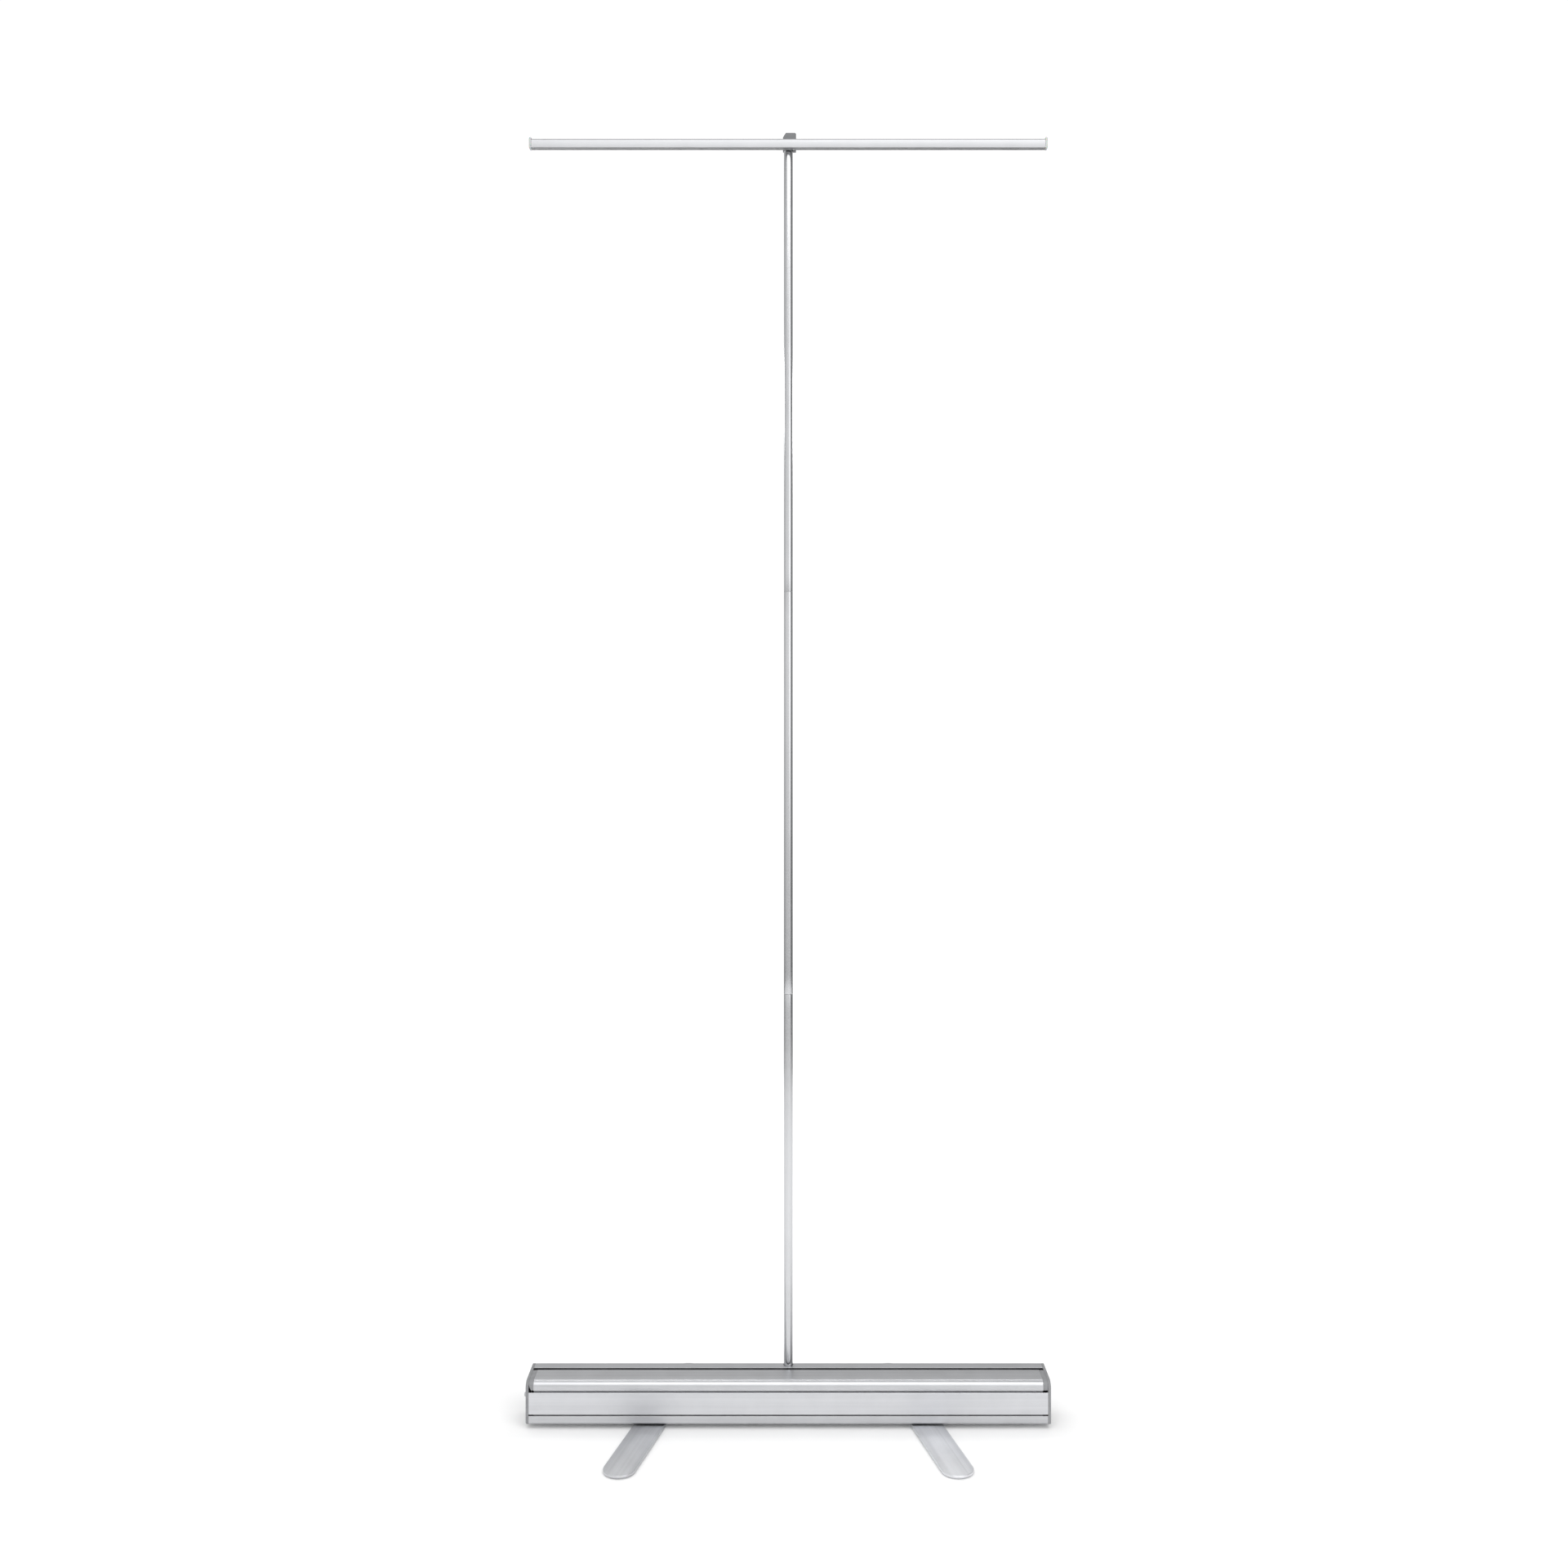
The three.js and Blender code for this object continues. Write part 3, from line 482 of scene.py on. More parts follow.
class Recipe:
    """Node tree of one material or world while it is put together."""

    def __init__(self, tree: bpy.types.NodeTree) -> None:
        """Empties the tree."""
        self.tree = tree
        tree.nodes.clear()

    def add(
        self,
        kind: str,
        settings: dict[str, Any] | None = None,
        inputs: dict[Any, Any] | None = None,
    ) -> bpy.types.Node:
        """Adds a node.

        Args:
            kind: Type of the node, without its common prefix.
            settings: Attributes set first; "stops" gives a ramp its places and grey levels.
            inputs: Number, colour or link of each socket, by name or place.

        Returns:
            The node.
        """
        node = self.tree.nodes.new("ShaderNode" + kind)
        for name, setting in (settings or {}).items():
            if name == "stops":
                self.set_stops(node.color_ramp, setting)
            else:
                setattr(node, name, setting)
        for name, given in (inputs or {}).items():
            socket = node.inputs[name]
            if isinstance(given, Value):
                self.tree.links.new(given.socket, socket)
            elif isinstance(given, bpy.types.NodeSocket):
                self.tree.links.new(given, socket)
            else:
                socket.default_value = given
        return node

    @staticmethod
    def set_stops(ramp: bpy.types.ColorRamp, stops: Sequence[tuple[float, float]]) -> None:
        """Gives a ramp its stops, each a place and a grey level."""
        for place, level in stops[len(ramp.elements) :]:
            ramp.elements.new(place)
        for element, (place, level) in zip(ramp.elements, stops):
            element.position, element.color = place, (level, level, level, 1)

    def value(self, node: bpy.types.Node, output: str | int = 0) -> Value:
        """One output of a node as a value."""
        return Value(self.tree, node.outputs[output])

    def mapped(self, scale: Sequence[float], turn: float = 0.0) -> bpy.types.NodeSocket:
        """Object coordinates in a frame turned about Z, scaled along that frame's axes."""
        place = self.add("TexCoord").outputs["Object"]
        node = self.add(
            "Mapping",
            {"vector_type": "TEXTURE"},
            {
                "Vector": place,
                "Rotation": (0, 0, turn),
                "Scale": tuple(1 / part for part in scale),
            },
        )
        return node.outputs[0]

    def noise(
        self, scale: Sequence[float], turn: float = 0.0, detail: float = 2.0, rough: float = 0.5
    ) -> Value:
        """Noise with its own scale along each axis, about 0.5."""
        place = self.mapped(scale, turn)
        inputs = {"Vector": place, "Scale": 1.0, "Detail": detail, "Roughness": rough}
        return self.value(self.add("TexNoise", {"noise_dimensions": "3D"}, inputs))

    def mix(self, share: Value, low: Colour, high: Colour) -> bpy.types.NodeSocket:
        """Colour between two colours."""
        node = self.add(
            "Mix",
            {"data_type": "RGBA", "clamp_factor": True},
            {0: share, 6: (*low, 1), 7: (*high, 1)},
        )
        return node.outputs[2]

    def bump(self, height: Value, depth: float, strength: float) -> bpy.types.NodeSocket:
        """Surface relief from a height between 0 and 1 and its depth in metres."""
        node = self.add("Bump", {}, {"Height": height, "Distance": depth, "Strength": strength})
        return node.outputs[0]


@dataclass(frozen=True)
class Finish:
    """Surface of a family of pieces.

    Attributes:
        name: Name of the material.
        slot: Slot of the record that the finish belongs to.
        dark: Colour of the lower tones.
        light: Colour of the higher tones.
        roughness: Middle roughness.
        metallic: 1 for a metal.
        constants: Shader sockets with one value all over.
    """

    name: str
    slot: str
    dark: Colour
    light: Colour
    roughness: float
    metallic: float = 0.0
    constants: tuple[tuple[str, float], ...] = ()

    def surface(self, recipe: Recipe) -> dict[str, Any]:
        """Sockets of the shader that vary over the surface."""
        raise NotImplementedError

    def material(self) -> bpy.types.Material:
        """The finish as a material, made once."""
        found = bpy.data.materials.get(self.name)
        if found:
            return found
        made = bpy.data.materials.new(self.name)
        made.use_nodes = True
        recipe = Recipe(made.node_tree)
        sockets: dict[str, Any] = {"Metallic": self.metallic, **dict(self.constants)}
        sockets.update(self.surface(recipe))
        shader = recipe.add("BsdfPrincipled", {}, sockets)
        recipe.add("OutputMaterial", {}, {"Surface": shader.outputs[0]})
        made.diffuse_color = (*self.light, 1)
        return made


@dataclass(frozen=True)
class DrawnMetal(Finish):
    """Extruded, drawn or rolled metal with lines along its length.

    Attributes:
        lay: Direction of the lines.
        turn: Angle of the lines about Z, in radians.
        line_width: Width of the finest lines in metres.
        contrast: Strength of the tone's changes.
        relief: Depth of the lines in metres.
    """

    metallic: float = 1.0
    lay: Lay = Lay.ALONG_X
    turn: float = 0.0
    line_width: float = 0.00035
    contrast: float = 1.0
    relief: float = 0.000012

    def surface(self, recipe: Recipe) -> dict[str, Any]:
        """Fine lines, broad bands, clouds of the anodising and a satin grain."""
        lay = np.array(self.lay.value)
        lines = recipe.noise(lay / self.line_width, self.turn, 3.0, 0.6)
        bands = recipe.noise(lay * 170.0 + 0.4, self.turn, 2.0)
        clouds = recipe.noise((26.0, 26.0, 26.0), self.turn, 4.0, 0.6)
        grain = recipe.noise((5200.0, 5200.0, 5200.0), 0.0, 2.0)
        rubs = recipe.noise(lay * 420.0 + 6.0, self.turn, 5.0, 0.7).over(0.62, 0.12)
        tone = 0.5 + (lines - 0.5) * 0.5 + (bands - 0.5) * 0.7 + (clouds - 0.5) * 0.5
        tone = tone + rubs * 0.18
        gloss = self.roughness + (grain - 0.5) * 0.12 + (lines - 0.5) * 0.10
        gloss = gloss + (clouds - 0.5) * 0.06 - rubs * 0.05
        height = lines * 0.65 + grain * 0.35
        return {
            "Base Color": recipe.mix(0.5 + (tone - 0.5) * self.contrast, self.dark, self.light),
            "Roughness": gloss,
            "Normal": recipe.bump(height, self.relief, 0.35),
        }


@dataclass(frozen=True)
class PlatedSteel(Finish):
    """Zinc-plated or bright steel with faint crystal flowers and turning marks."""

    metallic: float = 1.0

    def surface(self, recipe: Recipe) -> dict[str, Any]:
        """Crystal patches, stains and a fine grain."""
        patch = recipe.add(
            "TexVoronoi", {"feature": "F1"}, {"Vector": recipe.mapped((900.0,) * 3), "Scale": 1.0}
        )
        flowers = recipe.value(patch, "Distance")
        stains = recipe.noise((180.0,) * 3, 0.0, 4.0, 0.6)
        grain = recipe.noise((6000.0,) * 3)
        tone = 0.5 + (flowers - 0.5) * 0.35 + (stains - 0.5) * 0.9
        return {
            "Base Color": recipe.mix(tone, self.dark, self.light),
            "Roughness": self.roughness + (stains - 0.5) * 0.2 + (grain - 0.5) * 0.1,
            "Normal": recipe.bump(grain * 0.5 + flowers * 0.5, 0.00001, 0.3),
        }


@dataclass(frozen=True)
class Moulding(Finish):
    """Moulded plastic or rubber with an eroded grain.

    Attributes:
        grain: Grains per metre.
        relief: Depth of the grain in metres.
        sheen_lines: Strength of the flow lines left by moulding.
    """

    grain: float = 2600.0
    relief: float = 0.00003
    sheen_lines: float = 0.5

    def surface(self, recipe: Recipe) -> dict[str, Any]:
        """Grain, cloudy colour and weak flow lines."""
        coarse = recipe.noise((self.grain,) * 3, 0.0, 3.0, 0.6)
        fine = recipe.noise((self.grain * 3.1,) * 3, 0.0, 2.0)
        clouds = recipe.noise((90.0,) * 3, 0.0, 4.0, 0.55)
        flow = recipe.noise((14.0, 60.0, 260.0), 0.0, 3.0, 0.6)
        scuffs = recipe.noise((700.0, 120.0, 900.0), 0.0, 5.0, 0.7).over(0.66, 0.1)
        tone = 0.5 + (clouds - 0.5) * 1.0 + (coarse - 0.5) * 0.5 + scuffs * 0.25
        gloss = self.roughness + (coarse - 0.5) * 0.16 + (flow - 0.5) * 0.2 * self.sheen_lines
        return {
            "Base Color": recipe.mix(tone, self.dark, self.light),
            "Roughness": gloss + scuffs * 0.08,
            "Normal": recipe.bump(coarse * 0.6 + fine * 0.4, self.relief, 0.5),
        }


@dataclass(frozen=True)
class BraidedSleeve(Finish):
    """Textile sleeve of an elastic cord: two sets of yarns wound opposite ways.

    Attributes:
        axis: Place of the cord's axis, x and y.
        pitch: Height of one turn of a yarn in metres.
        yarns: Yarns in each set.
    """

    axis: Point = (0.0, 0.0)
    pitch: float = 0.014
    yarns: int = 8

    def surface(self, recipe: Recipe) -> dict[str, Any]:
        """Yarns rise where the waves of both winding directions cross.

        Formula: the phase of each set is the angle about the axis times the yarns, plus or minus
        the height's share of a turn; the weave is the product of both sines.
        """
        parts = recipe.add("SeparateXYZ", {}, {0: recipe.add("TexCoord").outputs["Object"]})
        x, y, z = (recipe.value(parts, k) for k in range(3))
        angle = x.math("ARCTAN2", y - self.axis[1], x - self.axis[0]) * float(self.yarns)
        rise = z * (2 * math.pi * self.yarns / self.pitch)
        one_way, other_way = (phase.math("SINE", phase) for phase in (angle + rise, angle - rise))
        weave = one_way * other_way
        weave = weave * 0.5 + 0.5
        fibre = recipe.noise((9000.0, 9000.0, 1200.0), 0.0, 3.0)
        return {
            "Base Color": recipe.mix(weave * 0.7 + fibre * 0.4 - 0.1, self.dark, self.light),
            "Roughness": self.roughness + (fibre - 0.5) * 0.2,
            "Normal": recipe.bump(weave * 0.8 + fibre * 0.2, 0.00025, 0.8),
        }


ALUMINIUM_DARK: Colour = (0.46, 0.465, 0.479)
ALUMINIUM_LIGHT: Colour = (0.65, 0.657, 0.675)
CASSETTE_METAL = DrawnMetal(
    "anodised_extrusion", "satin_aluminium", ALUMINIUM_DARK, ALUMINIUM_LIGHT, 0.36
)
PANEL_METAL = DrawnMetal(
    "anodised_panel", "satin_aluminium", (0.56, 0.566, 0.584), (0.74, 0.748, 0.77), 0.5
)
RAIL_METAL = DrawnMetal(
    "anodised_rail",
    "satin_aluminium",
    (0.36, 0.364, 0.374),
    (0.50, 0.505, 0.518),
    0.32,
    line_width=0.00028,
)
POLE_METAL = DrawnMetal(
    "anodised_tube",
    "satin_aluminium",
    (0.52, 0.526, 0.54),
    (0.69, 0.696, 0.71),
    0.22,
    lay=Lay.ALONG_Z,
    line_width=0.00022,
)
ZINC = PlatedSteel("zinc_plate", "zinc_steel", (0.42, 0.43, 0.44), (0.64, 0.65, 0.66), 0.34)
SPRING = DrawnMetal(
    "oiled_spring_wire",
    "spring_steel",
    (0.10, 0.10, 0.11),
    (0.26, 0.265, 0.28),
    0.38,
    lay=Lay.NONE,
    line_width=0.0004,
)
GREY_PLASTIC = Moulding(
    "grey_moulding", "grey_plastic", (0.20, 0.204, 0.212), (0.30, 0.304, 0.314), 0.48
)
HANGER_PLASTIC = Moulding(
    "hanger_grey", "grey_plastic", (0.15, 0.153, 0.16), (0.225, 0.229, 0.238), 0.5
)
CLEAR_PLASTIC = Moulding(
    "milky_moulding",
    "clear_plastic",
    (0.47, 0.50, 0.48),
    (0.64, 0.67, 0.65),
    0.30,
    constants=(("Subsurface Weight", 0.5), ("Subsurface Scale", 0.003)),
    relief=0.000012,
)
BLACK_PLASTIC = Moulding(
    "black_moulding", "black_plastic", (0.018, 0.018, 0.019), (0.045, 0.045, 0.048), 0.5
)
RUBBER = Moulding(
    "black_rubber",
    "black_rubber",
    (0.012, 0.012, 0.013),
    (0.035, 0.035, 0.036),
    0.78,
    grain=1900.0,
    relief=0.00006,
)
FILM = Moulding(
    "leader_film_white",
    "white_film",
    (0.74, 0.74, 0.72),
    (0.86, 0.86, 0.845),
    0.42,
    grain=4200.0,
    relief=0.000008,
    sheen_lines=1.0,
)
SLOT_FINISH = {
    "satin_aluminium": CASSETTE_METAL,
    "zinc_steel": ZINC,
    "spring_steel": SPRING,
    "grey_plastic": GREY_PLASTIC,
    "clear_plastic": CLEAR_PLASTIC,
    "black_plastic": BLACK_PLASTIC,
    "black_rubber": RUBBER,
    "white_film": FILM,
}


def dress(piece: bpy.types.Object, finish: Finish, body: str, *nodes: str) -> bpy.types.Object:
    """Gives a piece its finish, seats it on its body and hides the nodes it stands for."""
    piece.data.materials.clear()
    piece.data.materials.append(finish.material())
    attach(piece, body)
    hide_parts(*nodes)
    LOG.info("%s: %d faces, %s, on %s", piece.name, len(piece.data.polygons), finish.name, body)
    return piece


def corners(node: str) -> tuple[Array, Array]:
    """Lowest and highest corner of a CAD node as arrays."""
    low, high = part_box(node)
    return np.array(low), np.array(high)


# ------------------------------------------------------------------------------- cassette


@dataclass
class Cassette:
    """Shell, top cover, front panel and end caps of the base, with screws and locking pin."""

    wall: float = 0.0018
    toe: float = 0.0035
    heel: float = 0.003
    rear_radius: float = 0.010
    shoulder_radius: float = 0.0116
    shoulder_step: float = 0.001
    shoulder_drop: float = 0.0147
    groove: float = 0.0023
    panel_wall: float = 0.0017
    rib: float = 0.0015
    rib_setback: float = 0.0045
    skirt: float = 0.0015
    shadow_gap: float = 0.0007
    fit: float = 0.0003
    partition: Point = (0.0172, 0.0186)
    slot: Point = (0.0067, 0.0147)
    lip_depth: float = 0.0034
    port_radius: float = 0.0042
    port_hole: float = 0.002
    pole_hole: float = 0.0082
    rivet_hole: float = 0.0043
    cap_wall: float = 0.0045
    rim: float = 0.002
    rim_inset: float = 0.0006
    edge: float = 0.00025
    screw_radius: float = 0.0017
    screw_head: float = 0.0036
    head_height: float = 0.0021
    socket_flat: float = 0.0013
    socket_depth: float = 0.0013
    pin_radius: float = 0.002
    knob_radius: float = 0.0035
    knob_length: float = 0.008
    hole_reach: float = 0.002
    soft_edge: float = 0.0007
    finger_depth: float = 0.0044
    thread_pitch: float = 0.0007
    thread_depth: float = 0.0003
    screw_soft: float = 0.0004
    knurls: int = 12
    knurl_depth: float = 0.085

    def __post_init__(self) -> None:
        """Reads the boxes of the CAD nodes and derives the levels from them."""
        low, high = corners("cassette_shell")
        self.half = float(high[0])
        self.front, self.rear = float(low[1]), float(high[1])
        self.bottom, self.top = float(low[2]), float(high[2])
        self.floor, self.roof = self.bottom + self.wall, self.top - self.wall
        panel_low, panel_high = corners("front_panel")
        self.panel_bottom, self.panel_top = float(panel_low[2]), float(panel_high[2])
        self.strip_top = self.panel_bottom - self.groove
        self.cover_half = float(corners("top_cover")[1][0])
        self.shoulder_bottom = self.top - self.shoulder_drop
        self.skirt_front = self.front + self.panel_wall + self.rib + self.fit
        self.skirt_back = self.skirt_front + self.skirt
        self.cap_inner = self.half + self.fit
        self.outer = float(corners("end_cap_right")[1][0])
        self.ports = {
            f"cap_screw_right_{number}": self.middle(f"cap_screw_right_{number}")
            for number in range(1, 5)
        }
        places = list(self.ports.values())
        self.toe_port, self.heel_port, self.shoulder_port, self.lip_port = places

    @staticmethod
    def middle(node: str) -> Point:
        """Middle of a node's box across X."""
        low, high = corners(node)
        return float(low[1] + high[1]) / 2, float(low[2] + high[2]) / 2

    @property
    def toe_inner(self) -> float:
        """Inner chamfer of the toe, which keeps the wall's thickness."""
        return self.toe + self.wall * (math.sqrt(2) - 1)

    def port_arc(self, port: Point, start: float, end: float) -> Array:
        """Screw port standing out of a wall, from one meeting with the wall to the next."""
        return arc(port, self.port_radius, start, end, 24)

    def build(self) -> None:
        """Makes every piece of the cassette."""
        self.shell()
        self.cover()
        self.panel()
        for side in Side:
            self.end_cap(side)
            for number in range(1, 5):
                self.screw(side, number)
        self.locking_pin()

    def shell(self) -> None:
        """Floor, toe strip, rear wall and pole channel in one extrusion."""
        toe, inner = self.toe, self.toe_inner
        near, far = self.partition
        outer = outline(
            corner(self.front, self.strip_top, 0.0005),
            corner(self.front, self.bottom + toe, 0.0009),
            corner(self.front + toe, self.bottom, 0.0009),
            corner(self.rear, self.bottom, self.heel),
            corner(self.rear, self.top, self.rear_radius),
            corner(self.slot[1], self.top, 0.0004),
            corner(self.slot[1], self.roof, 0.0003),
            corner(near, self.roof, 0.0005),
            corner(near, self.floor, 0.0005),
            self.port_arc(self.toe_port, -59.0, 239.0),
            corner(self.front + inner, self.floor, 0.0006),
            corner(self.front + self.wall, self.bottom + inner, 0.0006),
            corner(self.front + self.wall, self.strip_top, 0.0004),
            steps=10,
        )
        channel = outline(
            corner(far, self.floor, 0.0005),
            corner(far, self.roof, 0.0005),
            corner(self.rear - self.wall, self.roof, self.rear_radius - self.wall),
            self.port_arc(self.heel_port, 31.0, 239.0),
            steps=10,
        )
        holes = [circle(port, self.port_hole, 20) for port in (self.toe_port, self.heel_port)]
        body = drawn("shell_extrusion", [outer, channel, *holes], -self.half, self.half).piece()
        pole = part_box("pole_lower")
        pole_y = (pole[0].y + pole[1].y) / 2
        lift = self.edge
        hole = outline(
            corner(0.0, self.roof - self.hole_reach),
            corner(self.pole_hole, self.roof - self.hole_reach),
            corner(self.pole_hole, self.top - lift),
            corner(self.pole_hole + 2 * lift, self.top + lift),
            corner(0.0, self.top + lift),
        )
        cutters = [turned("pole_hole", hole, Turning.Z, (0, pole_y, 0), 64)]
        for side in Side:
            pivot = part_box(f"foot_rivet_{side.label}")
            rivet_x = (pivot[0].x + pivot[1].x) / 2
            ends = (self.bottom - PAST, self.floor + PAST)
            name = f"rivet_hole_{side.label}"
            cutters.append(drill(name, self.rivet_hole, ends, Turning.Z, (rivet_x, 0, 0)))
        dress(carved(body, cutters), CASSETTE_METAL, "base", "cassette_shell")

    def cover(self) -> None:
        """Top cover: flat roof, rounded shoulder, skirt behind the front panel and slot lip."""
        arc_y = self.front + self.shoulder_step + self.shoulder_radius
        arc_z = self.top - self.shoulder_radius
        bore = self.shoulder_radius - self.wall
        meet = math.degrees(math.acos((self.skirt_back - arc_y) / bore))
        upper = self.panel_top - self.rib_setback + self.fit
        lower = self.panel_bottom + self.rib_setback - self.fit
        out = self.skirt_front - self.rib
        ribs = [
            step(self.skirt_front, out, top, bottom)
            for top, bottom in ((upper + self.rib, upper), (lower, lower - self.rib))
        ]
        skirt_bottom = (
            self.bottom + self.toe_inner + self.wall - (self.skirt_front - self.front) + self.fit
        )
        slot = self.slot[0]
        line = outline(
            corner(slot, self.top, 0.0004),
            corner(self.front + self.shoulder_step, self.top, self.shoulder_radius),
            corner(self.front + self.shoulder_step, self.shoulder_bottom, 0.0005),
            corner(self.skirt_front + self.shadow_gap, self.shoulder_bottom, 0.0003),
            corner(self.skirt_front + self.shadow_gap, upper + self.rib + 0.0012, 0.0003),
            corner(self.skirt_front, upper + self.rib + 0.0002, 0.0003),
            *ribs,
            corner(self.skirt_front, skirt_bottom, 0.0003),
            corner(self.skirt_back, skirt_bottom, 0.0003),
            self.port_arc(self.shoulder_port, 211.0, 509.0),
            arc((arc_y, arc_z), bore, meet, 90.0, 10),
            self.port_arc(self.lip_port, 121.0, 419.0),
            corner(slot - self.wall, self.roof, 0.0003),
            corner(slot - self.wall, self.top - self.lip_depth, 0.0003),
            corner(slot, self.top - self.lip_depth, 0.0003),
            steps=16,
        )
        holes = [circle(port, self.port_hole, 20) for port in (self.shoulder_port, self.lip_port)]
        shape = drawn("cover_extrusion", [line, *holes], -self.cover_half, self.cover_half)
        dress(shape.piece(), CASSETTE_METAL, "base", "top_cover")

    def panel(self) -> None:
        """Snap-in front panel with its two ribs."""
        back = self.front + self.panel_wall
        lows = (
            self.panel_bottom + self.rib_setback,
            self.panel_top - self.rib_setback - self.rib,
        )
        ribs = [step(back, back + self.rib, low, low + self.rib) for low in lows]
        line = outline(
            corner(self.front, self.panel_bottom, 0.0005),
            corner(back, self.panel_bottom, 0.0003),
            *ribs,
            corner(back, self.panel_top, 0.0003),
            corner(self.front, self.panel_top, 0.0012),
            steps=8,
        )
        shape = drawn("panel_extrusion", [line], -self.half, self.half)
        dress(shape.piece(), PANEL_METAL, "base", "front_panel")

    def end_cap(self, side: Side) -> None:
        """Moulded end cap: plate with a soft outer edge, rim under the cover, sunk screw seats."""
        plate = outline(
            corner(self.front, self.top, self.shoulder_radius + self.shoulder_step),
            corner(self.front, self.bottom + self.toe, 0.0012),
            corner(self.front + self.toe, self.bottom, 0.0012),
            corner(self.rear, self.bottom, self.heel),
            corner(self.rear, self.top, self.rear_radius),
            steps=14,
        )
        turn = np.radians(np.linspace(0, 90, 5))
        soft = self.soft_edge
        depths = [self.edge / 2, 0.0, *(soft * (1 - np.cos(turn)))]
        places = [
            self.cap_inner,
            self.cap_inner + self.edge / 2,
            *(self.outer - soft + soft * np.sin(turn)),
        ]
        rings = [swung(ring, ALONG_X) for ring in sections(plate, places, depths)]
        shape = Shape(f"end_cap_moulding_{side.label}").grid(np.stack(rings))
        body = shape.lid(rings[0]).lid(rings[-1]).mirrored(side.value).piece()

        arc_y = self.front + self.shoulder_step + self.shoulder_radius
        arc_z = self.top - self.shoulder_radius
        big = self.shoulder_radius - self.rim_inset
        small = big - self.rim
        band = outline(
            corner(self.slot[0], self.top - self.rim_inset, 0.0003),
            arc((arc_y, arc_z), big, 90.0, 180.0, 18),
            corner(arc_y - big, self.shoulder_bottom, 0.0003),
            corner(arc_y - small, self.shoulder_bottom, 0.0003),
            arc((arc_y, arc_z), small, 180.0, 90.0, 18),
            corner(self.slot[0], self.top - self.rim_inset - self.rim, 0.0003),
        )
        start, end = self.cover_half + self.fit, self.outer - PAST
        if side is Side.LEFT:
            start, end = -end, -start
        rim = drawn(f"rim_{side.label}", [band], start, end)
        cutters = [self.screw_seat(side, port) for port in self.ports.values()]
        if side is Side.LEFT:
            pin_y, pin_z = self.middle("locking_pin")
            ends = (PAST - self.cap_inner, -self.outer - PAST)
            way = self.pin_radius + self.fit
            cutters.append(drill("pin_way", way, ends, Turning.X, (0, pin_y, pin_z)))
            relief = np.array(
                [
                    [-self.cap_inner, self.top - 3 * self.rim],
                    [-self.cap_inner, self.shoulder_bottom - self.fit],
                    [-self.cap_inner + self.finger_depth, self.shoulder_bottom - self.fit],
                ]
            )
            cutters.append(drawn("finger_relief", [relief], self.front - PAST, arc_y, ALONG_Y))
        carved(body, cutters, [rim])
        dress(body, GREY_PLASTIC, "base", f"end_cap_{side.label}")

    def screw_seat(self, side: Side, port: Point) -> Shape:
        """Screw hole of a cap with the wider seat of the screw's head."""
        hole, seat = self.screw_radius + self.fit, self.screw_head + self.fit
        floor = self.cap_inner + self.cap_wall - self.head_height - self.fit
        line = outline(
            corner(0.0, self.cap_inner - PAST),
            corner(hole, self.cap_inner - PAST),
            corner(hole, floor),
            corner(seat, floor),
            corner(seat, self.outer - self.edge),
            corner(seat + 2 * self.edge, self.outer + self.edge),
            corner(0.0, self.outer + self.edge),
        ) * np.array([1, side.value])
        return turned("screw_seat", line, Turning.X, (0, *port), 40)

    def screw(self, side: Side, number: int) -> None:
        """Socket-head screw with its thread.

        Formula: the thread's radius is the core plus the depth times a triangle wave of angle
        minus turns; the socket's radius is the flat's half width over the cosine of the angle
        from the nearest flat.
        """
        node = f"cap_screw_{side.label}_{number}"
        low, high = corners(node)
        y, z = self.middle(node)
        seat = self.cap_inner + self.cap_wall - self.head_height
        length = float(high[0] - low[0]) - self.head_height
        count = 36
        angle = around(count)
        along = np.linspace(seat - length + 0.0012, seat - 0.0004, 72)
        turns = (along[:, None] / self.thread_pitch - angle[None, :] / (2 * math.pi)) % 1.0
        core = self.screw_radius - self.thread_depth * (1 - np.abs(2 * turns - 1))
        thread = np.concatenate(
            [core, np.repeat(np.linspace(core.mean(), self.screw_radius, 2)[:, None], count, 1)]
        )
        near = np.abs(((angle + math.pi / 6) % (math.pi / 3)) - math.pi / 6)
        flat = self.socket_flat / np.cos(near)
        soft = self.screw_soft
        bend = np.radians(np.linspace(0, 90, 6))
        head_end = seat + self.head_height
        shoulder = self.screw_head - soft + soft * np.cos(bend)
        radii = [
            np.zeros((1, count)),
            np.full((1, count), self.screw_radius * 0.35),
            thread,
            np.full((2, count), self.screw_head - self.edge) + np.array([[0.0], [self.edge]]),
            np.repeat(shoulder[:, None], count, 1),
            (flat + self.edge)[None, :],
            flat[None, :],
            flat[None, :],
            np.zeros((1, count)),
        ]
        places = [
            seat - length,
            seat - length,
            *along,
            seat - 0.0003,
            seat,
            seat,
            seat + self.edge,
            *(head_end - soft + soft * np.sin(bend)),
            head_end,
            head_end - self.edge,
            head_end - self.socket_depth,
            head_end - self.socket_depth - 0.0003,
        ]
        profile = np.column_stack([np.ones(len(places)), np.array(places) * side.value])
        surface = turned_surface(profile, Turning.X, (0, y, z), count, np.vstack(radii))
        piece = Shape(f"cap_bolt_{side.label}_{number}").grid(surface).piece(30.0)
        dress(piece, ZINC, "base", node)

